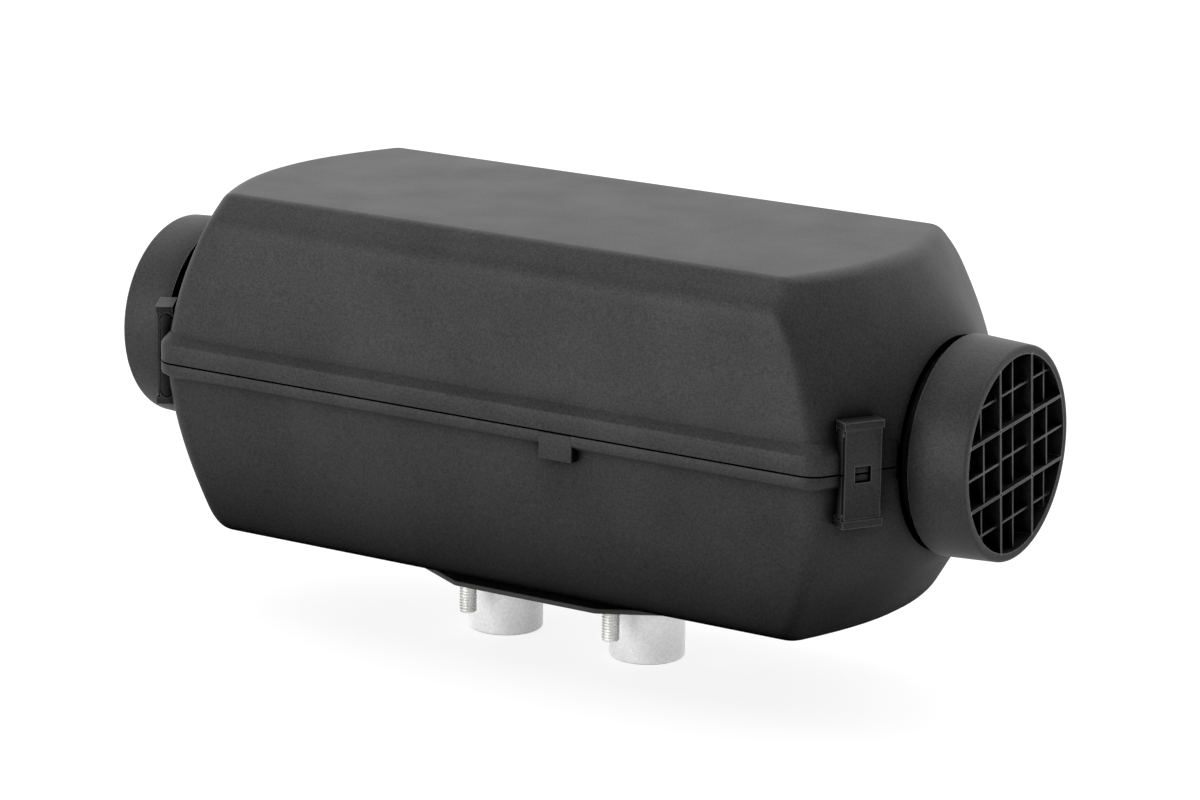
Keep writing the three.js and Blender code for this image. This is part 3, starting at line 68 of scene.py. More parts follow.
NECK_X = 141.5
RING_R, RING_WALL, RING_GAP, RING_LENGTH = 34.8, 3.0, 3.7, 19.9
RING_ROUND, RING_CHAMFER, RING_DRAFT = 1.2, 0.6, 1.0
HOOD_STEP, NECK_WALL = 2.6, 1.8
FLANGE_R, FLANGE_THICK, COLLAR_LIP = 36.2, 2.4, 4.0
RING_BACK_X = NECK_X + RING_GAP
RING_FACE_X = RING_BACK_X + RING_LENGTH
RING_BORE_R = RING_R - RING_WALL
HOOD_NECK_R = RING_R - HOOD_STEP
HOOD_BORE_R = HOOD_NECK_R - NECK_WALL

RIB_PITCH = 10.5
MAIN_RIB, MAIN_RIB_SETBACK, MAIN_RIB_DEPTH = 1.1, 0.1, 8.0
FINE_RIB, FINE_RIB_SETBACK, SIDE_CELL_SETBACK, FINE_RIB_DEPTH = 0.8, 1.5, 0.5, 4.5
RIB_BITE = 0.5                    # how far a rib goes into the ring
HOOD_TURN = {1: 4.5, -1: 0.0}     # degrees about the duct axis, at the outlet and at the inlet

SEAM_GAP, RIM_PROUD, RIM_CORNER_R = 0.4, 2.1, 6.0
UPPER_RIM, UPPER_LEDGE, LOWER_RIM, LOWER_LEDGE = 6.5, 3.5, 3.5, 2.2
RIM_ROOT = 1.5 * WALL             # how deep the rim's root lies under the casing's face
TAB_X, TAB_WIDTH, TAB_HEIGHT, TAB_PROUD = 32.3, 12.8, 9.2, 2.2

CLIP_ALONG, CLIP_WIDTH, CLIP_HALF_HEIGHT = 14.6, 14.0, 17.0
CLIP_PLATE, CLIP_LIP, CLIP_DEPTH = 1.3, 2.3, 5.8
CLIP_WINDOW_WIDTH, CLIP_WINDOW_HEIGHT = 5.7, 5.2
PAD_PROUD, NOSE_R, NOSE_WRAP, BOSS_NECK = 0.9, 2.0, 160.0, 1.6

FOOT_MID_X, PLINTH_HALF_LENGTH, PLINTH_HALF_WIDTH = 2.0, 50.0, 35.0
PLINTH_CUT_X, PLINTH_CUT_Y, PLINTH_CORNER_R = 22.0, 12.0, 5.0
PLINTH_HEIGHT, PLINTH_WALL, GASKET, GASKET_INSET = 6.0, 3.5, 1.7, 0.8
SPIGOT_X = (-28.0, 29.0)
SPIGOT_R, SPIGOT_WALL, SPIGOT_LENGTH = 12.7, 2.5, 22.9
STUD_Y, STUD_R, STUD_LENGTH, STUD_GRIP, THREAD_PITCH, THREAD_DEPTH = 23.0, 3.0, 12.2, 7.0, 1.0, 0.61
FOOT_Z = -(FLOOR_DEPTH + PLINTH_HEIGHT)
FACE_Z = -AXIS_HEIGHT
INNER_FLOOR_Z = -(FLOOR_DEPTH - WALL)

CABLE_X, CABLE_Y, CABLE_BORE, CABLE_NECK, CABLE_FLANGE, CABLE_LIP = -80.0, 26.0, 4.5, 7.7, 10.0, 2.0
FUEL_NECK, FUEL_FLANGE, FUEL_LIP = 3.7, 4.6, 1.5
BURNER_HOLE_X, FUEL_PIPE_R = -20.0, 2.5
FUEL_PIPE_Y = PLINTH_HALF_WIDTH + FUEL_FLANGE + CLEAR

FAN_R, FAN_HUB_R, FAN_NOSE_R, FAN_LENGTH, FAN_SOCKET, FAN_BLADES = 41.0, 18.0, 7.0, 25.0, 18.0, 9
BLADE_ROOT_CHORD, BLADE_TIP_CHORD = 21.0, 29.0
BLADE_ROOT_STAGGER, BLADE_TIP_STAGGER = 32.0, 60.0
BLADE_THICK, BLADE_CAMBER, BLADE_ROOTED = 1.8, 2.4, 5.0
FAN_BACK_X = -104.1
SHAFT_R = 2.5

EDGE_SOFT = 0.35                  # softening of the rim's and the ring's corners
SOFT_MIDDLE = 0.3                 # share of a softening at which its middle point lies
CASING_EDGE, CLIP_EDGE, BOSS_EDGE, RIB_EDGE, GASKET_EDGE = 0.5, 0.25, 0.3, 0.18, 0.3
PAST_FACE = 1.0                   # how far a cutting tool stands out of the face that it cuts

ROUND_STEPS, BORE_STEPS, SEAL_STEPS, ROD_STEPS = 128, 96, 64, 48
CORNER_STEPS = 8
SECTION_STEP = 5.0                # longest side of the casing's section
ANGLE_SLACK = 1e-9                # radians, for rounding
QUARTER_TURN = [math.radians(15 * i) for i in range(7)]

# ------------------------------------------------------------------ meshes


def mesh_from(name, points, faces):
    """Object of a mesh given in millimetres about the duct axis."""
    mesh = bpy.data.meshes.new(name)
    mesh.from_pydata([(x * MM, y * MM, (z + AXIS_HEIGHT) * MM) for x, y, z in points], [], faces)
    mesh.validate()
    made = bpy.data.objects.new(name, mesh)
    bpy.context.scene.collection.objects.link(made)
    work = bmesh.new()
    work.from_mesh(mesh)
    bmesh.ops.remove_doubles(work, verts=work.verts, dist=MERGE_DISTANCE)
    bmesh.ops.recalc_face_normals(work, faces=work.faces)
    work.to_mesh(mesh)
    work.free()
    return made


def loft(name, rings, capped=True):
    """Closed body through rings of points, or a tube that closes on itself where it isn't capped."""
    count = len(rings[0])
    points = [point for ring in rings for point in ring]
    spans = len(rings) - 1 if capped else len(rings)
    faces = []
    for ring in range(spans):
        low, high = ring * count, ((ring + 1) % len(rings)) * count
        for i in range(count):
            j = (i + 1) % count
            faces.append((low + i, low + j, high + j, high + i))
    if capped:
        faces.append(tuple(range(count))[::-1])
        faces.append(tuple((len(rings) - 1) * count + i for i in range(count)))
    return mesh_from(name, points, faces)


def turned(name, profile, place=None, steps=ROUND_STEPS):
    """Ring turned from a closed profile: [x, radius] about the duct axis, or [z, radius] about a place."""
    rings = []
    for step in range(steps):
        angle = 2 * math.pi * step / steps
        across, up = math.cos(angle), math.sin(angle)
        if place is None:
            rings.append([(x, r * across, r * up) for x, r in profile])
        else:
            rings.append([(place[0] + r * across, place[1] + r * up, z) for z, r in profile])
    return loft(name, rings, capped=False)


def rod(name, start, end, radius, steps=ROD_STEPS):
    """Plain round rod between two points."""
    start, end = Vector(start), Vector(end)
    along = (end - start).normalized()
    side = along.orthogonal().normalized()
    across = along.cross(side)
    ring = [side * (radius * math.cos(a)) + across * (radius * math.sin(a))
            for a in (2 * math.pi * i / steps for i in range(steps))]
    return loft(name, [[tuple(start + p) for p in ring], [tuple(end + p) for p in ring]])


def box(name, xs, ys, zs):
    corners = [(xs[0], ys[0]), (xs[1], ys[0]), (xs[1], ys[1]), (xs[0], ys[1])]
    return loft(name, [[(x, y, z) for x, y in corners] for z in zs])


def span(middle, width):
    return (middle - width / 2, middle + width / 2)


def prism(name, outline, z0, z1):
    return loft(name, [[(x, y, z) for x, y in outline] for z in (z0, z1)])


def apply_modifiers(made):
    graph = bpy.context.evaluated_depsgraph_get()
    baked = bpy.data.meshes.new_from_object(made.evaluated_get(graph))
    made.modifiers.clear()
    old = made.data
    made.data = baked
    bpy.data.meshes.remove(old)
    return made


def cut(made, *tools):
    """Takes the tools out of the object."""
    for tool in tools:
        step = made.modifiers.new("cut", "BOOLEAN")
        step.operation = "DIFFERENCE"
        step.solver = "EXACT"
        step.object = tool
    bpy.context.view_layer.update()
    apply_modifiers(made)
    for tool in tools:
        bpy.data.objects.remove(tool)
    return made


def bevelled(made, width, segments=2, angle=30):
    """Rounds the object's edges."""
    step = made.modifiers.new("edge", "BEVEL")
    step.width = width * MM
    step.segments = segments
    step.limit_method = "ANGLE"
    step.angle_limit = math.radians(angle)
    step.use_clamp_overlap = True
    bpy.context.view_layer.update()
    return apply_modifiers(made)


def united(name, parts):
    """One object of several."""
    work = bmesh.new()
    for part in parts:
        work.from_mesh(part.data)
    mesh = bpy.data.meshes.new(name)
    work.to_mesh(mesh)
    work.free()
    for part in parts:
        bpy.data.objects.remove(part)
    made = bpy.data.objects.new(name, mesh)
    bpy.context.scene.collection.objects.link(made)
    return made


def finished(made, material, body, replaced, angle=32):
    """Smooth shading, material, and the CAD node that the piece stands for."""
    made.data.materials.clear()
    made.data.materials.append(material)
    made.data.shade_smooth()
    made.data.set_sharp_from_angle(angle=math.radians(angle))
    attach(made, body)
    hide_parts(*replaced)
    return made


# ------------------------------------------------------------------ outlines


def rounded_outline(corners, inset=0.0, steps=CORNER_STEPS):
    """Corners (x, y, radius) of a convex outline, anticlockwise, moved in by the inset and rounded."""
    count = len(corners)
    at = [Vector(corner[:2]) for corner in corners]
    heading = [(at[(i + 1) % count] - at[i]).normalized() for i in range(count)]
    points = []
    for i, corner in enumerate(corners):
        arriving, leaving = heading[i - 1], heading[i]
        normal_in = Vector((-arriving.y, arriving.x))
        normal_out = Vector((-leaving.y, leaving.x))
        moved = at[i] + (normal_in + normal_out) * (inset / (1 + normal_in.dot(normal_out)))
        turn = math.atan2(arriving.x * leaving.y - arriving.y * leaving.x, arriving.dot(leaving))
        radius = max(corner[2] - inset, CLEAR)
        centre = moved - arriving * (radius * math.tan(turn / 2)) + normal_in * radius
        for step in range(steps + 1):
            a = turn * step / steps
            spoke = Vector((normal_in.x * math.cos(a) - normal_in.y * math.sin(a),
                            normal_in.x * math.sin(a) + normal_in.y * math.cos(a)))
            points.append(tuple(centre - spoke * radius))
    return points


def divided(outline, longest):
    """The outline with its long straight sides cut into short ones."""
    result = []
    for (x0, y0), (x1, y1) in zip(outline, outline[1:] + outline[:1]):
        parts = max(1, math.ceil(math.hypot(x1 - x0, y1 - y0) / longest))
        result += [(x0 + (x1 - x0) * i / parts, y0 + (y1 - y0) * i / parts) for i in range(parts)]
    return result


def mirrored_corners(half):
    left = [(-across, up, radius) for across, up, radius in half]
    right = [(across, up, radius) for across, up, radius in reversed(half)]
    return left + right


# ------------------------------------------------------------------ casing

SECTION = mirrored_corners([
    (ROOF_HALF_WIDTH, ROOF_Z, ROOF_EDGE_R),
    (BEVEL_HALF_WIDTH, BEVEL_Z, BEVEL_EDGE_R),
    (SEAM_HALF_WIDTH, 0.0, SEAM_EDGE_R),
    (FLOOR_HALF_WIDTH, -FLOOR_DEPTH, FLOOR_EDGE_R),
])
SHOULDERS = [
    (math.atan2(up, across), (NECK_X - x) / (math.hypot(across, up) - RING_R))
    for across, up, x in [
        (0, -FLOOR_DEPTH, FLOOR_MID_X),
        (FLOOR_HALF_WIDTH, -FLOOR_DEPTH, FLOOR_CORNER_X),
        (SEAM_HALF_WIDTH, 0, SEAM_X),
        (BEVEL_HALF_WIDTH, BEVEL_Z, BEVEL_X),
        (ROOF_HALF_WIDTH, ROOF_Z, ROOF_CORNER_X),
        (0, ROOF_Z, ROOF_MID_X),
    ]
]


def end_slope(y, z):
    """Axial fall of the tapered end for each millimetre of radius."""
    angle = math.atan2(z, abs(y))
    last = len(SHOULDERS) - 1
    above = max(1, next((i for i, (at, _) in enumerate(SHOULDERS) if at >= angle - ANGLE_SLACK), last))
    (a0, s0), (a1, s1) = SHOULDERS[above - 1], SHOULDERS[above]
    return s0 + (s1 - s0) * (angle - a0) / (a1 - a0)


def meridian(y, z):
    """Points (x, radius) of one meridian: the soft shoulder, then straight to the neck."""
    radius = math.hypot(y, z)
    slope = end_slope(y, z)
    lean = math.hypot(1, slope)
    corner = Vector((NECK_X - slope * (radius - RING_R), radius))
    start = Vector((corner.x - SHOULDER_SOFT, radius))
    end = Vector((corner.x + SHOULDER_SOFT * slope / lean, radius - SHOULDER_SOFT / lean))
    steps, flats = 8, 5
    bend = [start * (1 - t) ** 2 + corner * (2 * t * (1 - t)) + end * t * t
            for t in (i / steps for i in range(steps + 1))]
    neck = Vector((NECK_X, RING_R))
    return bend + [end.lerp(neck, i / flats) for i in range(1, flats + 1)]


def half_section(side):
    """The section's points on one side of the seam, with both ends on the seam's edge."""
    outline = divided(rounded_outline(SECTION), SECTION_STEP)
    edge = side * SEAM_GAP / 2
    count = len(outline)
    inside = [side * z > side * edge for _, z in outline]
    first = next(i for i in range(count) if inside[i] and not inside[i - 1])

    def crossing(a, b):
        share = (edge - a[1]) / (b[1] - a[1])
        return (a[0] + (b[0] - a[0]) * share, edge)

    points = [crossing(outline[first - 1], outline[first])]
    i = first
    while inside[i % count]:
        points.append(outline[i % count])
        i += 1
    points.append(crossing(outline[(i - 1) % count], outline[i % count]))
    return points


def casing_skin(name, side):
    """One half of the casing, as a skin with the wall's thickness."""
    columns = []
    for y, z in half_section(side):
        radius = math.hypot(y, z)
        line = [(x, y * r / radius, z * r / radius) for x, r in meridian(y, z)]
        columns.append([(-x, py, pz) for x, py, pz in reversed(line)] + line)
    rows = len(columns[0])
    points = [point for column in columns for point in column]
    faces = []
    for c in range(len(columns) - 1):
        for r in range(rows - 1):
            faces.append((c * rows + r, (c + 1) * rows + r, (c + 1) * rows + r + 1, c * rows + r + 1))
    skin = mesh_from(name, points, faces)
    work = bmesh.new()
    work.from_mesh(skin.data)
    middle = max(work.faces, key=lambda face: abs(face.calc_center_median().z - AXIS_HEIGHT * MM))
    if middle.normal.z * side < 0:
        bmesh.ops.reverse_faces(work, faces=work.faces)
    work.to_mesh(skin.data)
    work.free()
    wall = skin.modifiers.new("wall", "SOLIDIFY")
    wall.thickness = WALL * MM
    wall.offset = -1
    bpy.context.view_layer.update()
    return apply_modifiers(skin)


def seam_plan(offset):
    """Plan of the casing at the seam, grown by the offset and cut off at the necks."""
    outline = rounded_outline(mirrored_corners([
        (SEAM_X, SEAM_HALF_WIDTH, RIM_CORNER_R),
        (NECK_X, RING_R, CLEAR),
        (NECK_X, -RING_R, CLEAR),
        (SEAM_X, -SEAM_HALF_WIDTH, RIM_CORNER_R),
    ]), -offset)
    return [(max(-NECK_X, min(NECK_X, x)), y) for x, y in outline]


def seam_rim(name, side, height, ledge):
    """Band round one shell at the seam, with its ledge to the casing."""
    soft = EDGE_SOFT
    levels = [
        (SEAM_GAP / 2, RIM_PROUD - soft),
        (SEAM_GAP / 2 + SOFT_MIDDLE * soft, RIM_PROUD - SOFT_MIDDLE * soft),
        (SEAM_GAP / 2 + soft, RIM_PROUD),
        (height - soft, RIM_PROUD),
        (height - 0.2 * soft, RIM_PROUD - 0.25 * soft),
        (height + soft, RIM_PROUD - soft),
        (height + ledge, -WALL / 2),
        (height + ledge, -RIM_ROOT),
        (SEAM_GAP / 2, -RIM_ROOT),
    ]
    rings = [[(x, y, side * z) for x, y in seam_plan(offset)] for z, offset in levels]
    reach = NECK_X + WALL
    band = loft(name, rings, capped=False)
    necks = [rod("neck", (end * SEAM_X, 0, 0), (end * reach, 0, 0), HOOD_NECK_R + CLEAR, BORE_STEPS)
             for end in (1, -1)]
    return cut(band, *necks)


def collar(name, side):
    """Half of the casing's collar round the hood's neck, at both ends."""
    parts = []
    for end in (1, -1):
        profile = [
            (NECK_X, HOOD_NECK_R + CLEAR),
            (NECK_X, RING_R),
            (NECK_X - COLLAR_LIP / 2, RING_R + COLLAR_LIP / 3),
            (NECK_X - COLLAR_LIP, RING_R + COLLAR_LIP / 3),
            (NECK_X - COLLAR_LIP, HOOD_NECK_R + CLEAR),
        ]
        trim = math.asin(SEAM_GAP / 2 / RING_R)
        steps = ROUND_STEPS // 2
        rings = []
        for step in range(steps + 1):
            angle = side * (trim + (math.pi - 2 * trim) * step / steps)
            rings.append([(end * x, r * math.cos(angle), r * math.sin(angle)) for x, r in profile])
        parts.append(loft(name + str(end), rings))
    return parts


# ------------------------------------------------------------------ clips

END_ANGLE = math.atan2(NECK_X - SEAM_X, SEAM_HALF_WIDTH - RING_R)
CLIP_STANDOFF = RIM_PROUD + PAD_PROUD + CLEAR + CLIP_PLATE
NOSE_Z = CLIP_HALF_HEIGHT - CLIP_LIP - CLEAR - NOSE_R
NOSE_X = -(CLIP_PLATE + CLEAR + NOSE_R)


def clip_place(end, side):
    """Moves what is drawn at a clip's outer face to its place on the casing."""
    x = NECK_X - CLIP_ALONG * math.sin(END_ANGLE) + CLIP_STANDOFF * math.cos(END_ANGLE)
    y = RING_R + CLIP_ALONG * math.cos(END_ANGLE) + CLIP_STANDOFF * math.sin(END_ANGLE)
    heading = math.atan2(side * math.sin(END_ANGLE), end * math.cos(END_ANGLE))
    return Matrix.Translation((end * x, side * y, 0)) @ Matrix.Rotation(heading, 4, "Z")


def in_metres(place):
    """A place given in millimetres about the duct axis, for a mesh that is already in metres."""
    moved = place.copy()
    moved.translation = place.translation * MM
    moved.translation.z += AXIS_HEIGHT * MM
    return moved


def nose_arc(radius, degrees, up, steps=14):
    angles = [math.radians(degrees * step / steps) for step in range(steps + 1)]
    return [(NOSE_X + radius * math.cos(a), up * (NOSE_Z + radius * math.sin(a))) for a in angles]


def bar(name, profile, width, place):
    """Solid from an (x, z) profile, as wide as given along the clip's own y."""
    rings = [[tuple(place @ Vector((x, y, z))) for x, z in profile] for y in (-width / 2, width / 2)]
    return loft(name, rings)


def placed_box(name, place, xs, ys, zs):
    """Box given in a clip's own directions."""
    made = box(name, xs, ys, (zs[0] - AXIS_HEIGHT, zs[1] - AXIS_HEIGHT))
    made.data.transform(in_metres(place))
    return made


def clip_body(name, end, side):
    """Clip with raised borders, a window and two hooks round the boss's noses."""
    gap = NOSE_R + CLEAR
    border, step, waist = 2.4, 0.55, 0.6
    step_z = CLIP_HALF_HEIGHT - border
    profile = [
        (0, -CLIP_HALF_HEIGHT),
        (0, -step_z),
        (-step, -step_z + step),
        (-step, step_z - step),
        (0, step_z),
        (0, CLIP_HALF_HEIGHT),
        (-CLIP_DEPTH, CLIP_HALF_HEIGHT),
        *reversed(nose_arc(gap, NOSE_WRAP, 1)),
        *nose_arc(gap, NOSE_WRAP, -1),
        (-CLIP_DEPTH, -CLIP_HALF_HEIGHT),
    ]
    place = clip_place(end, side)
    made = bar(name, profile, CLIP_WIDTH, place)
    half_width, half_height = CLIP_WINDOW_WIDTH / 2, CLIP_WINDOW_HEIGHT / 2
    corners = [(-half_width, -half_height), (half_width, -half_height),
               (half_width, half_height), (-half_width, half_height)]
    ends = [[tuple(place @ Vector((x, y, z))) for y, z in corners] for x in (-CLIP_DEPTH, PAST_FACE)]
    window = loft("window", ends)
    flanks = [placed_box("flank", place, (-CLIP_PLATE, PAST_FACE), ys, (-step_z, step_z))
              for ys in ((CLIP_WIDTH / 2 - waist, CLIP_WIDTH), (-CLIP_WIDTH, waist - CLIP_WIDTH / 2))]
    cut(made, window, *flanks)
    return bevelled(made, CLIP_EDGE, 2, 35)


def clip_boss(name, end, side, half):
    """One shell's half of the boss that a clip clasps."""
    neck_z = NOSE_Z + NOSE_R - BOSS_NECK
    root = -CLIP_DEPTH - 2 * WALL
    edge = SEAM_GAP / 2
    front = NOSE_X + NOSE_R
    profile = [
        (front, edge),
        *nose_arc(NOSE_R, NOSE_WRAP, 1),
        (-CLIP_DEPTH, neck_z),
        (root, neck_z),
        (root, edge),
    ]
    place = clip_place(end, side)
    made = bar(name, [(x, half * z) for x, z in profile], CLIP_WIDTH, place)
    bevelled(made, BOSS_EDGE, 2, 50)
    groove = 0.45
    half_width, half_height = CLIP_WINDOW_WIDTH / 2, CLIP_WINDOW_HEIGHT / 2
    towards_neck = -end * side
    depth = (front - 2 * groove, front + groove)
    across = sorted((towards_neck * (half_width - groove), towards_neck * half_width))
    upright = sorted((0, half * half_height))
    level = sorted((half * (half_height - groove), half * half_height))
    return cut(made,
               placed_box("groove", place, depth, across, upright),
               placed_box("groove", place, depth, (-half_width, half_width), level))


# ------------------------------------------------------------------ foot, gasket, spigots and studs


def foot(inset):
    length, width = PLINTH_HALF_LENGTH, PLINTH_HALF_WIDTH
    corners = [
        (length, -width + PLINTH_CUT_Y), (length, width - PLINTH_CUT_Y),
        (length - PLINTH_CUT_X, width), (-length + PLINTH_CUT_X, width),
        (-length, width - PLINTH_CUT_Y), (-length, -width + PLINTH_CUT_Y),
        (-length + PLINTH_CUT_X, -width), (length - PLINTH_CUT_X, -width),
    ]
    return rounded_outline([(FOOT_MID_X + x, y, PLINTH_CORNER_R) for x, y in corners], inset)


def spigot(x):
    """Tube with a rounded end, as cast."""
    low = FACE_Z - SPIGOT_LENGTH
    bore = SPIGOT_R - SPIGOT_WALL
    lip, edge = 1.1, 0.4
    outer = [(low + lip - lip * math.cos(a), SPIGOT_R - lip + lip * math.sin(a)) for a in QUARTER_TURN]
    inner = [(low + edge - edge * math.cos(a), bore + edge - edge * math.sin(a))
             for a in reversed(QUARTER_TURN)]
    return turned("spigot", [
        *outer,
        (FOOT_Z + CLEAR, SPIGOT_R),
        (FOOT_Z + CLEAR, bore),
        *inner,
    ], place=(x, 0), steps=BORE_STEPS)


def threaded_stud(name, x, y):
    """Stud with a real M6 thread over its whole visible length."""
    low, high = FACE_Z - STUD_LENGTH, FOOT_Z + STUD_GRIP
    sides, rows_per_turn, chamfer = 36, 8, 0.6
    flank, crest = 1.3, 0.1       # how steeply the flanks fall, and how much of the crest stays flat
    rows = int((high - low) / THREAD_PITCH * rows_per_turn)
    rings = [[(x, y, low)] * sides]
    for row in range(rows + 1):
        z = low + (high - low) * row / rows
        ring = []
        for i in range(sides):
            phase = (z / THREAD_PITCH - i / sides) % 1.0
            depth = THREAD_DEPTH * min(1.0, max(0.0, abs(2 * phase - 1) * flank - crest))
            radius = min(STUD_R - depth, STUD_R - chamfer + (z - low))
            angle = 2 * math.pi * i / sides
            ring.append((x + radius * math.cos(angle), y + radius * math.sin(angle), z))
        rings.append(ring)
    rings.append([(x, y, high)] * sides)
    return loft(name, rings)


def grommet(name, place, bore, neck, flange, lip):
    """Rubber ring with a flange on each side of the lower shell's floor."""
    under, over = -FLOOR_DEPTH - CLEAR, INNER_FLOOR_Z + CLEAR
    soft = lip / 3
    return turned(name, [
        (under - lip, bore + soft),
        (under - lip, flange - lip),
        (under - lip / 2, flange - soft / 2),
        (under, flange),
        (under, neck),
        (over, neck),
        (over, flange),
        (over + lip / 2, flange - soft / 2),
        (over + lip, flange - lip),
        (over + lip, bore + soft),
        (over + lip - soft, bore),
        (under - lip + soft, bore),
    ], place=place, steps=SEAL_STEPS)


# ------------------------------------------------------------------ hoods and fan


def hood(name, end):
    """Flange, neck and ring in one turned piece, with the grille in the ring."""
    round_edge = [(RING_FACE_X - RING_ROUND + RING_ROUND * math.sin(a),
                   RING_R - RING_ROUND + RING_ROUND * math.cos(a)) for a in QUARTER_TURN]
    soft = EDGE_SOFT
    flange_front = NECK_X - COLLAR_LIP - CLEAR
    flange_back = flange_front - FLANGE_THICK
    back_r = RING_R + RING_DRAFT
    profile = [
        (flange_back, HOOD_BORE_R),
        (flange_back, FLANGE_R),
        (flange_front, FLANGE_R),
        (flange_front, HOOD_NECK_R),
        (RING_BACK_X, HOOD_NECK_R),
        (RING_BACK_X, back_r - RING_CHAMFER),
        (RING_BACK_X + SOFT_MIDDLE * RING_CHAMFER, back_r - SOFT_MIDDLE * RING_CHAMFER),
        (RING_BACK_X + RING_CHAMFER, back_r),
        *round_edge,
        (RING_FACE_X, RING_BORE_R + soft),
        (RING_FACE_X - SOFT_MIDDLE * soft, RING_BORE_R + SOFT_MIDDLE * soft),
        (RING_FACE_X - soft, RING_BORE_R),
        (RING_BACK_X + RING_WALL, RING_BORE_R),
        (RING_BACK_X, HOOD_BORE_R),
    ]
    made = united(name, [turned(name + "_ring", [(end * x, r) for x, r in profile]), *grille(name, end)])
    axis = Matrix.Translation((0, 0, AXIS_HEIGHT * MM))
    made.data.transform(axis @ Matrix.Rotation(math.radians(HOOD_TURN[end]), 4, "X") @ axis.inverted())
    return made


def grille(name, end):
    """Two main ribs each way, and a finer cross in each of the nine cells."""
    reach = RING_BORE_R + RIB_BITE
    ribs = []

    def rib(setback, depth, ys, zs):
        front = RING_FACE_X - setback
        xs = sorted((end * (front - depth), end * front))
        return bevelled(box(name + "_rib", xs, ys, zs), RIB_EDGE, 2)

    def chord(offset):
        return math.sqrt(reach ** 2 - offset ** 2)

    for offset in (-RIB_PITCH, RIB_PITCH):
        half = chord(offset)
        ribs.append(rib(MAIN_RIB_SETBACK, MAIN_RIB_DEPTH, span(offset, MAIN_RIB), (-half, half)))
        ribs.append(rib(MAIN_RIB_SETBACK, MAIN_RIB_DEPTH, (-half, half), span(offset, MAIN_RIB)))
    for column in (-1, 0, 1):
        for row in (-1, 0, 1):
            y, z = 2 * RIB_PITCH * column, 2 * RIB_PITCH * row
            setback = SIDE_CELL_SETBACK if row == 0 and column else FINE_RIB_SETBACK
            limit_y, limit_z = chord(z), chord(y)
            ys = (max(-limit_y, y - RIB_PITCH), min(limit_y, y + RIB_PITCH))
            zs = (max(-limit_z, z - RIB_PITCH), min(limit_z, z + RIB_PITCH))
            ribs.append(rib(setback, FINE_RIB_DEPTH, span(y, FINE_RIB), zs))
            ribs.append(rib(setback, FINE_RIB_DEPTH, ys, span(z, FINE_RIB)))
    return ribs


def fan_blade(name, turn):
    """Cambered sections from the hub to the tip, laid over more and more."""
    middle = FAN_BACK_X - FAN_LENGTH / 2
    stations, places = 12, 12
    rings = []
    for i in range(stations + 1):
        share = i / stations
        radius = FAN_HUB_R - BLADE_ROOTED + (FAN_R - FAN_HUB_R + BLADE_ROOTED) * share
        chord = BLADE_ROOT_CHORD + (BLADE_TIP_CHORD - BLADE_ROOT_CHORD) * share
        stagger = math.radians(BLADE_ROOT_STAGGER + (BLADE_TIP_STAGGER - BLADE_ROOT_STAGGER) * share)
        edge = []
        for side in (1, -1):
            for j in range(places + 1):
                s = (j / places - 0.5) * side
                thick = BLADE_THICK / 2 * math.sqrt(max(0.0, 1 - (2 * s) ** 4))
                edge.append((s * chord, BLADE_CAMBER * (1 - 4 * s * s) + side * thick))
        ring = []
        for along, off in edge:
            x = middle + along * math.cos(stagger) + off * math.sin(stagger)
            angle = turn + (along * math.sin(stagger) - off * math.cos(stagger)) / radius
            ring.append((x, radius * math.cos(angle), radius * math.sin(angle)))
        rings.append(ring)
    return loft(name, rings)


def fan_hub(name):
    front = FAN_BACK_X - FAN_LENGTH
    soft = 1.2
    nose = [(front + soft * (1 - math.sin(a)), FAN_NOSE_R - soft + soft * math.cos(a))
            for a in reversed(QUARTER_TURN)]
    flare = [(front + FAN_LENGTH / 4, (FAN_NOSE_R + FAN_HUB_R) / 2), (FAN_BACK_X, FAN_HUB_R)]
    return turned(name, [
        (front, 0.0),
        *nose,
        *flare,
        (FAN_BACK_X, SHAFT_R + CLEAR),
        (FAN_BACK_X - FAN_SOCKET, SHAFT_R + CLEAR),
        (FAN_BACK_X - FAN_SOCKET, 0.0),
    ], steps=BORE_STEPS)


# ------------------------------------------------------------------ materials

SHADE_PAINTED_BELOW = 0.07                   # metres above the foot, from where plastic has its full colour and sheen, free of painted shade
PAINTED_SHADE_FOOT_SHARE = 0.4                  # what painted shade leaves of them at the foot
CASING_ROUGH = (0.42, 0.66)
PLASTIC_SHEEN = (0.14, 0.5)


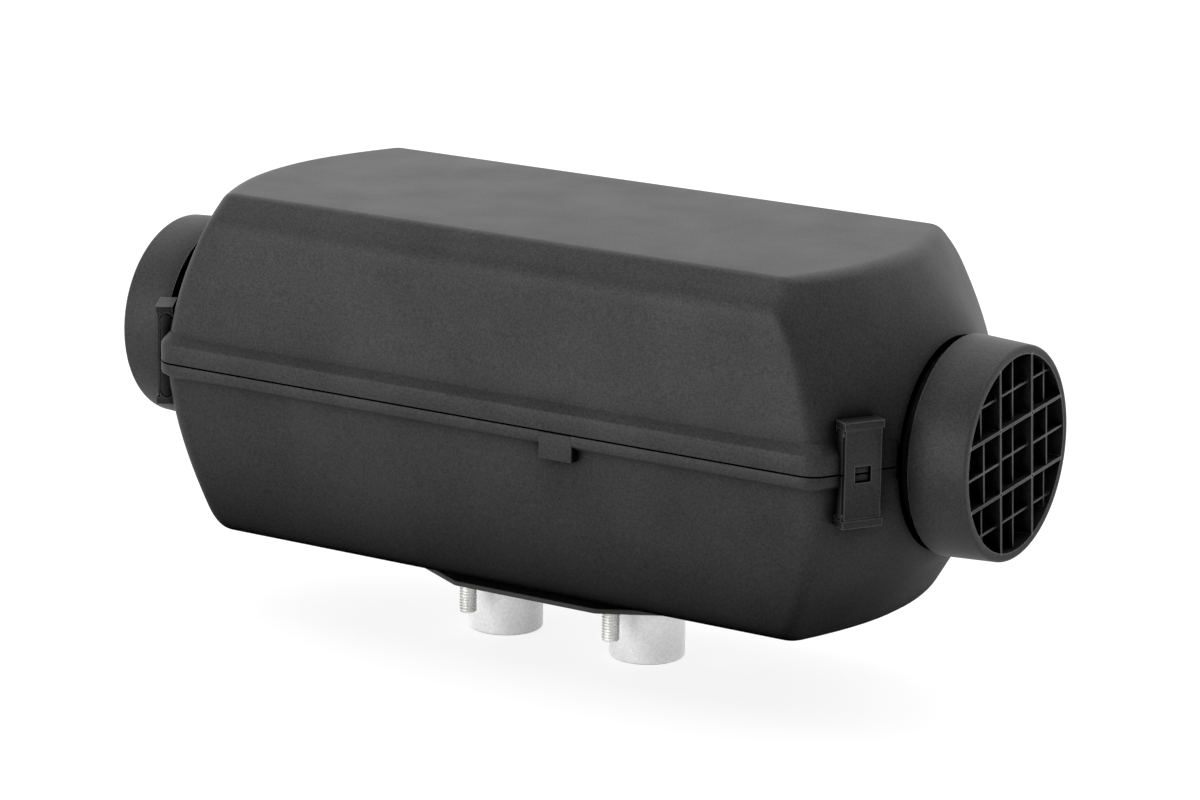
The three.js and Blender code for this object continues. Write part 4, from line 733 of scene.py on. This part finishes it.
class Look:
    """A node material under construction."""

    def __init__(self, name, **values):
        self.material = bpy.data.materials.new(name)
        self.material.use_nodes = True
        self.nodes = self.material.node_tree.nodes
        self.links = self.material.node_tree.links
        self.shader = self.nodes["Principled BSDF"]
        for socket, value in values.items():
            self.shader.inputs[socket.replace("_", " ")].default_value = value
        self.place = self.nodes.new("ShaderNodeTexCoord").outputs["Object"]

    def noise(self, scale, detail=3.0, roughness=0.5):
        node = self.nodes.new("ShaderNodeTexNoise")
        node.inputs["Scale"].default_value = scale
        node.inputs["Detail"].default_value = detail
        node.inputs["Roughness"].default_value = roughness
        self.links.new(self.place, node.inputs["Vector"])
        return node.outputs["Fac"]

    def cells(self, scale):
        node = self.nodes.new("ShaderNodeTexVoronoi")
        node.inputs["Scale"].default_value = scale
        self.links.new(self.place, node.inputs["Vector"])
        return node.outputs["Distance"]

    def ramp(self, value, *stops):
        """Colours or greys against a value: stops of (position, grey or colour)."""
        node = self.nodes.new("ShaderNodeValToRGB")
        elements = node.color_ramp.elements
        while len(elements) < len(stops):
            elements.new(0.5)
        for element, (position, colour) in zip(elements, stops):
            element.position = position
            element.color = (*colour, 1) if isinstance(colour, tuple) else (colour, colour, colour, 1)
        self.links.new(value, node.inputs["Fac"])
        return node.outputs["Color"]

    def scaled(self, value, low, high):
        node = self.nodes.new("ShaderNodeMapRange")
        node.inputs["To Min"].default_value = low
        node.inputs["To Max"].default_value = high
        self.links.new(value, node.inputs["Value"])
        return node.outputs["Result"]

    def mix(self, share, a, b, how="MIX"):
        node = self.nodes.new("ShaderNodeMix")
        node.data_type = "RGBA"
        node.blend_type = how
        for socket, value in ((node.inputs[0], share), (node.inputs[6], a), (node.inputs[7], b)):
            if isinstance(value, (int, float)):
                socket.default_value = value
            elif isinstance(value, tuple):
                socket.default_value = (*value, 1)
            else:
                self.links.new(value, socket)
        return node.outputs[2]

    def maths(self, operation, a, b=0.0):
        node = self.nodes.new("ShaderNodeMath")
        node.operation = operation
        for socket, value in zip(node.inputs, (a, b)):
            if isinstance(value, (int, float)):
                socket.default_value = value
            else:
                self.links.new(value, socket)
        return node.outputs["Value"]

    def parts_of(self, vector):
        node = self.nodes.new("ShaderNodeSeparateXYZ")
        self.links.new(vector, node.inputs["Vector"])
        return node.outputs

    def worn_and_highlit_edges(self, radius=0.5, softness=0.3):
        """Grey that rises on the edges, as wear and painted highlight, from how far the surface turns within
        a radius in millimetres.
        """
        rounded = self.nodes.new("ShaderNodeBevel")
        rounded.samples = 4
        rounded.inputs["Radius"].default_value = radius * MM
        turn = self.nodes.new("ShaderNodeVectorMath")
        turn.operation = "DOT_PRODUCT"
        self.links.new(rounded.outputs["Normal"], turn.inputs[0])
        self.links.new(self.nodes.new("ShaderNodeNewGeometry").outputs["Normal"], turn.inputs[1])
        return self.maths("MULTIPLY", self.maths("SUBTRACT", 1.0, turn.outputs["Value"]), 1.0 / softness)

    def painted_crevice_shade(self, reach, shut, clear):
        """Painted shade: grey from nought in a crevice to one in the open, looking round within a reach in
        millimetres.
        """
        around = self.nodes.new("ShaderNodeAmbientOcclusion")
        around.samples = 4
        around.inputs["Distance"].default_value = reach * MM
        return self.ramp(around.outputs["AO"], (shut, 0.0), (clear, 1.0))

    def painted_low_shade(self):
        """Painted shade: share of the plastic's colour and sheen, falling from the seam down to the foot."""
        node = self.nodes.new("ShaderNodeMapRange")
        for socket, value in (("From Min", 0.0), ("From Max", SHADE_PAINTED_BELOW),
                              ("To Min", PAINTED_SHADE_FOOT_SHARE), ("To Max", 1.0)):
            node.inputs[socket].default_value = value
        self.links.new(self.parts_of(self.place)["Z"], node.inputs["Value"])
        return node.outputs["Result"]

    def colour(self, value):
        self.links.new(value, self.shader.inputs["Base Color"])

    def rough(self, value):
        self.links.new(value, self.shader.inputs["Roughness"])

    def sheen(self, value):
        self.links.new(value, self.shader.inputs["Specular IOR Level"])

    def bump(self, *layers):
        """Bump from layers of (height, strength, distance in millimetres)."""
        previous = None
        for height, strength, distance in layers:
            node = self.nodes.new("ShaderNodeBump")
            node.inputs["Strength"].default_value = strength
            node.inputs["Distance"].default_value = distance * MM
            self.links.new(height, node.inputs["Height"])
            if previous is not None:
                self.links.new(previous, node.inputs["Normal"])
            previous = node.outputs["Normal"]
        self.links.new(previous, self.shader.inputs["Normal"])


def moulded_plastic(name, dark, light, rough, grain=0.35, wear_and_highlight=(2.4, 0.3), crevice=(60.0, 0.55, 1.0)):
    """Filled plastic with a spark-eroded grain, faint flow marks, paler edges as wear and painted highlight,
    and painted shade in crevices and towards the foot.
    """
    look = Look(name, IOR=1.5)
    flow = look.noise(30.0, 5.0, 0.6)
    mottle = look.noise(1300.0, 3.0, 0.65)
    base = look.mix(look.ramp(flow, (0.35, 0.0), (0.65, 1.0)), dark, light)
    grained = look.mix(0.6, base, look.ramp(mottle, (0.3, 0.45), (0.7, 1.0)), "MULTIPLY")
    strength, softness = wear_and_highlight
    # paler edges: part wear, part painted highlight
    worn_and_highlit = look.mix(look.worn_and_highlit_edges(softness=softness), grained, tuple(min(1.0, strength * c) for c in light))
    gloss = look.scaled(look.mix(0.4, look.noise(40.0, 5.0), mottle), *rough)
    # painted shade in crevices and towards the foot, on colour and sheen alike
    painted_shade_share = look.maths("MULTIPLY", look.painted_crevice_shade(*crevice), look.painted_low_shade())
    sheen = look.scaled(look.mix(0.6, flow, look.ramp(mottle, (0.3, 0.0), (0.7, 1.0))), *PLASTIC_SHEEN)
    look.colour(look.mix(1.0, worn_and_highlit, painted_shade_share, "MULTIPLY"))
    look.sheen(look.maths("MULTIPLY", sheen, painted_shade_share))
    look.rough(gloss)
    look.bump((look.cells(1500.0), grain, 0.07), (mottle, grain, 0.06), (flow, 0.05, 0.3))
    return look.material


def cast_metal(name, dark, light):
    """As-cast aluminium: mottled skin and shallow pits."""
    look = Look(name, Metallic=0.45)
    cloud = look.noise(1100.0, 5.0, 0.7)
    blotch = look.noise(90.0, 4.0)
    pits = look.cells(1300.0)
    base = look.mix(look.ramp(cloud, (0.32, 0.0), (0.6, 1.0)), dark, light)
    shaded = look.mix(0.2, base, look.ramp(blotch, (0.3, 0.8), (0.62, 1.0)), "MULTIPLY")
    # painted shade in crevices darkens the metal's colour
    look.colour(look.mix(1.0, shaded, look.painted_crevice_shade(40.0, 0.0, 0.35), "MULTIPLY"))
    look.rough(look.scaled(look.noise(420.0, 4.0), 0.34, 0.6))
    look.bump((pits, 0.3, 0.1), (cloud, 0.6, 0.2))
    return look.material


def machined_metal(name, colour, rough, metallic=1.0, tint=0.82):
    """Turned or drawn metal with fine marks and slight staining."""
    look = Look(name, Metallic=metallic)
    stain = look.noise(110.0, 5.0)
    marks = look.noise(1600.0, 2.0)
    dull = tuple(c * tint for c in colour)
    look.colour(look.mix(look.ramp(stain, (0.35, 0.0), (0.7, 1.0)), dull, colour))
    look.rough(look.scaled(marks, rough - 0.08, rough + 0.14))
    look.bump((marks, 0.15, 0.03), (stain, 0.1, 0.08))
    return look.material


def rubber_or_fibre(name, dark, light, rough, grain):
    look = Look(name)
    bloom = look.noise(60.0, 5.0)
    fine = look.noise(1100.0, 3.0)
    look.colour(look.mix(look.ramp(bloom, (0.35, 0.0), (0.7, 1.0)), dark, light))
    look.rough(look.scaled(fine, rough - 0.08, rough + 0.08))
    look.bump((fine, grain, 0.06), (bloom, 0.1, 0.2))
    return look.material


CASING_DARK, CASING_LIGHT = (0.013, 0.013, 0.0132), (0.018, 0.018, 0.0182)
CASING = moulded_plastic("casing_plastic", CASING_DARK, CASING_LIGHT, CASING_ROUGH)
# paler rib fronts as wear and painted highlight, and painted shade that blackens the grille's cells
HOOD = moulded_plastic("hood_plastic", CASING_DARK, CASING_LIGHT, CASING_ROUGH,
                       wear_and_highlight=(13.0, 0.06), crevice=(14.0, 0.62, 0.84))
# paler clip borders as wear and painted highlight, and painted shade round the boss
CLIP = moulded_plastic("clip_plastic", (0.006, 0.006, 0.0062), (0.009, 0.009, 0.0092), (0.4, 0.6), 0.3,
                       wear_and_highlight=(11.0, 0.12), crevice=(14.0, 0.4, 0.9))
CASTING = cast_metal("cast_aluminium", (0.84, 0.84, 0.85), (1.0, 1.0, 1.0))
STEEL = machined_metal("steel", (0.55, 0.55, 0.56), 0.32)
ZINC = machined_metal("zinc_plated_steel", (0.88, 0.88, 0.86), 0.26, 0.5, 0.8)
RUBBER = rubber_or_fibre("rubber", (0.007, 0.007, 0.007), (0.013, 0.013, 0.013), 0.72, 0.25)
FIBRE = rubber_or_fibre("gasket_fibre", (0.05, 0.05, 0.052), (0.09, 0.09, 0.092), 0.88, 0.5)
WHITE = moulded_plastic("white_plastic", (0.62, 0.61, 0.57), (0.7, 0.69, 0.65), (0.38, 0.5), 0.1)
COPPER = machined_metal("copper_winding", (0.6, 0.24, 0.1), 0.3)
FERRITE = rubber_or_fibre("ferrite", (0.035, 0.031, 0.028), (0.055, 0.05, 0.045), 0.8, 0.4)
BOARD = rubber_or_fibre("circuit_board", (0.01, 0.065, 0.022), (0.014, 0.085, 0.03), 0.42, 0.1)
SINTERED = rubber_or_fibre("sintered_metal", (0.15, 0.14, 0.12), (0.24, 0.22, 0.2), 0.9, 0.7)
SLOT_LOOKS = {
    "casing_plastic": CASING,
    "clip_plastic": CLIP,
    "cast_aluminium": CASTING,
    "steel": STEEL,
    "zinc_plated_steel": ZINC,
    "rubber": RUBBER,
    "gasket_fibre": FIBRE,
    "white_plastic": WHITE,
    "copper_winding": COPPER,
    "ferrite": FERRITE,
    "circuit_board": BOARD,
    "sintered_metal": SINTERED,
}

# ------------------------------------------------------------------ pieces

BODY = "heater_body"
ENDS = (("outlet", 1), ("inlet", -1))
SIDES = (("front", -1), ("rear", 1))


def build_shell(name, side, rim, ledge, extras=()):
    parts = [casing_skin(name + "_skin", side), seam_rim(name + "_rim", side, rim, ledge)]
    parts += collar(name + "_collar", side)
    parts += [clip_boss(name + "_boss", end, y_side, side) for _, end in ENDS for _, y_side in SIDES]
    return parts + list(extras)


def build_upper_shell():
    made = united("upper_casing", build_shell("upper", 1, UPPER_RIM, UPPER_LEDGE))
    return finished(made, CASING, BODY, ["upper_shell"])


def floor_holes():
    """What is cut out of the lower casing: the foot's inside and the two grommets' holes."""
    inner = prism("inner_foot", foot(PLINTH_WALL), FOOT_Z - WALL, INNER_FLOOR_Z + 2 * WALL)
    holes = [rod(name, (x, y, FOOT_Z), (x, y, 0), neck + CLEAR) for name, x, y, neck in (
        ("cable_hole", CABLE_X, CABLE_Y, CABLE_NECK),
        ("fuel_hole", BURNER_HOLE_X, FUEL_PIPE_Y, FUEL_NECK),
    )]
    return inner, *holes


def build_lower_shell():
    parts = build_shell("lower", -1, LOWER_RIM, LOWER_LEDGE)
    cut(parts[0], *floor_holes())
    plinth = prism("plinth", foot(0), FOOT_Z, INNER_FLOOR_Z)
    cut(plinth, prism("inner_foot", foot(PLINTH_WALL), FOOT_Z - WALL, INNER_FLOOR_Z + WALL))
    face = -(SEAM_HALF_WIDTH + TAB_PROUD)
    tab = box("tab", span(TAB_X, TAB_WIDTH), (face, face + 2 * TAB_PROUD), (-TAB_HEIGHT, -SEAM_GAP / 2))
    parts += [bevelled(plinth, CASING_EDGE, 3), bevelled(tab, CASING_EDGE, 3)]
    made = united("lower_casing", parts)
    return finished(made, CASING, BODY, ["lower_shell"])


def build_hoods():
    for end_name, end in ENDS:
        made = hood(end_name + "_duct_hood", end)
        finished(made, HOOD, BODY, [end_name + "_hood"])


def build_clips():
    for end_name, end in ENDS:
        for side_name, side in SIDES:
            node = "clip_" + side_name + "_" + end_name
            made = clip_body(side_name + "_" + end_name + "_clip", end, side)
            finished(made, CLIP, node + "_body", [node])


def build_gasket():
    gasket = prism("foot_seal", foot(GASKET_INSET), FACE_Z, FACE_Z + GASKET)
    holes = [rod("hole", (x, 0, FACE_Z - GASKET), (x, 0, FOOT_Z), SPIGOT_R + CLEAR, BORE_STEPS)
             for x in SPIGOT_X]
    holes += [rod("hole", (x, y, FACE_Z - GASKET), (x, y, FOOT_Z), STUD_R + CLEAR)
              for x in SPIGOT_X for y in (-STUD_Y, STUD_Y)]
    cut(gasket, *holes)
    finished(bevelled(gasket, GASKET_EDGE), RUBBER, BODY, ["foot_gasket"])


def build_studs():
    for number, (x, y) in enumerate(((x, y) for x in SPIGOT_X for y in (-STUD_Y, STUD_Y)), 1):
        stud = threaded_stud("stud_" + str(number), x, y)
        finished(stud, ZINC, BODY, ["foot_stud_" + str(number)], 50)


def build_grommets():
    cable = grommet("cable_seal", (CABLE_X, CABLE_Y), CABLE_BORE, CABLE_NECK, CABLE_FLANGE, CABLE_LIP)
    finished(cable, RUBBER, BODY, ["cable_grommet"])
    fuel_bore = FUEL_PIPE_R + CLEAR
    fuel = grommet("fuel_seal", (BURNER_HOLE_X, FUEL_PIPE_Y), fuel_bore, FUEL_NECK, FUEL_FLANGE, FUEL_LIP)
    finished(fuel, RUBBER, BODY, ["fuel_pipe_grommet"])


def build_casting():
    """The foot keeps its CAD form above its face and gets finer spigots below it."""
    source = nodes["foot_casting"]
    work = bmesh.new()
    work.from_mesh(source.data)
    bmesh.ops.remove_doubles(work, verts=work.verts, dist=MERGE_DISTANCE)
    level = (FOOT_Z + AXIS_HEIGHT - CLEAR / 2) * MM
    everything = list(work.verts) + list(work.edges) + list(work.faces)
    bmesh.ops.bisect_plane(work, geom=everything, plane_co=(0, 0, level), plane_no=(0, 0, 1),
                           clear_inner=True)
    mesh = bpy.data.meshes.new("foot_core")
    work.to_mesh(mesh)
    work.free()
    core = bpy.data.objects.new("foot_core", mesh)
    bpy.context.scene.collection.objects.link(core)
    made = united("cast_foot", [core, *[spigot(x) for x in SPIGOT_X]])
    return finished(made, CASTING, BODY, ["foot_casting"])


def build_fan():
    blades = [fan_blade("blade", 2 * math.pi * i / FAN_BLADES) for i in range(FAN_BLADES)]
    made = united("warm_air_fan", [fan_hub("fan_hub"), *blades])
    return finished(made, CLIP, "blower_rotor", ["fan_wheel"])


def dress_cad_nodes():
    """Inner pieces keep their CAD shapes and get the look of their slot."""
    slots = {entry["node"]: entry["material_slot"] for entry in frame["record"]["subparts"]}
    for name, node in nodes.items():
        node.data.materials.clear()
        node.data.materials.append(SLOT_LOOKS[slots[name]])


# ------------------------------------------------------------------ camera and light
#
# Places in metres, angles in degrees. The camera was solved from the photo.

CAMERA_AZIMUTH, CAMERA_ELEVATION, CAMERA_ROLL = 32.5564, 14.5082, 0.7220
CAMERA_PLACE = (0.80509, -1.24686, 0.44492)
CAMERA_LENS, CAMERA_SENSOR, CAMERA_CLIP_END = 137.708, 36.0, 20
BRIGHT_SIDE = (-0.6, 0.78, 0.18)
BACKDROP_DIM, BACKDROP_BRIGHT = 0.15, 1.7
FLOOR_REACH, FLOOR_GLOW = 6.0, 0.8


def area_light(name, place, aim, size, power):
    data = bpy.data.lights.new(name, "AREA")
    data.shape = "RECTANGLE"
    data.size, data.size_y = size
    data.energy = power
    light = bpy.data.objects.new(name, data)
    light.location = place
    light.rotation_euler = (Vector(aim) - Vector(place)).to_track_quat("-Z", "Y").to_euler()
    bpy.context.scene.collection.objects.link(light)


def build_camera():
    azimuth, elevation, roll = (math.radians(a) for a in (CAMERA_AZIMUTH, CAMERA_ELEVATION, CAMERA_ROLL))
    back = Vector((math.sin(azimuth) * math.cos(elevation), -math.cos(azimuth) * math.cos(elevation),
                   math.sin(elevation)))
    level = Vector((math.cos(azimuth), math.sin(azimuth), 0))
    lift = back.cross(level)
    right = level * math.cos(roll) + lift * math.sin(roll)
    up = lift * math.cos(roll) - level * math.sin(roll)
    data = bpy.data.cameras.new("camera")
    data.lens, data.sensor_width = CAMERA_LENS, CAMERA_SENSOR
    data.clip_end = CAMERA_CLIP_END
    camera = bpy.data.objects.new("camera", data)
    turn = Matrix((right, up, back)).transposed().to_4x4()
    camera.matrix_world = Matrix.Translation(CAMERA_PLACE) @ turn
    bpy.context.scene.collection.objects.link(camera)
    bpy.context.scene.camera = camera


def build_backdrop():
    """White light from all round, stronger from behind on the left than from the right."""
    world = bpy.data.worlds.new("studio")
    world.use_nodes = True
    tree = world.node_tree
    towards_bright = tree.nodes.new("ShaderNodeVectorMath")
    towards_bright.operation = "DOT_PRODUCT"
    towards_bright.inputs[1].default_value = BRIGHT_SIDE
    tree.links.new(tree.nodes.new("ShaderNodeTexCoord").outputs["Generated"], towards_bright.inputs[0])
    strength = tree.nodes.new("ShaderNodeMapRange")
    for socket, value in (("From Min", -1.0), ("From Max", 1.0),
                          ("To Min", BACKDROP_DIM), ("To Max", BACKDROP_BRIGHT)):
        strength.inputs[socket].default_value = value
    tree.links.new(towards_bright.outputs["Value"], strength.inputs["Value"])
    backdrop = tree.nodes["Background"]
    backdrop.inputs["Color"].default_value = (1, 1, 1, 1)
    tree.links.new(strength.outputs["Result"], backdrop.inputs["Strength"])
    bpy.context.scene.world = world


def build_studio():
    floor_z = (FACE_Z - SPIGOT_LENGTH + AXIS_HEIGHT) * MM
    mesh = bpy.data.meshes.new("floor")
    reach = FLOOR_REACH
    mesh.from_pydata([(-reach, -reach, floor_z), (reach, -reach, floor_z),
                      (reach, reach, floor_z), (-reach, reach, floor_z)], [], [(0, 1, 2, 3)])
    floor = bpy.data.objects.new("floor", mesh)
    bpy.context.scene.collection.objects.link(floor)
    look = Look("floor_paper", Roughness=0.9, Emission_Color=(1, 1, 1, 1), Emission_Strength=FLOOR_GLOW)
    look.colour(look.mix(look.noise(3.0, 2.0), (0.25, 0.25, 0.25), (0.27, 0.27, 0.27)))
    mesh.materials.append(look.material)
    build_backdrop()
    area_light("overhead", (-0.1, 0.3, 1.6), (0, 0, 0.07), (2.4, 2.0), 12)
    area_light("front_left", (-0.7, -1.9, 0.5), (0, 0, 0.04), (1.6, 0.9), 24)


build_camera()
build_studio()
dress_cad_nodes()
build_upper_shell()
build_lower_shell()
build_hoods()
build_clips()
build_gasket()
build_studs()
build_grommets()
build_casting()
build_fan()

bpy.context.scene.view_settings.view_transform = "Standard"
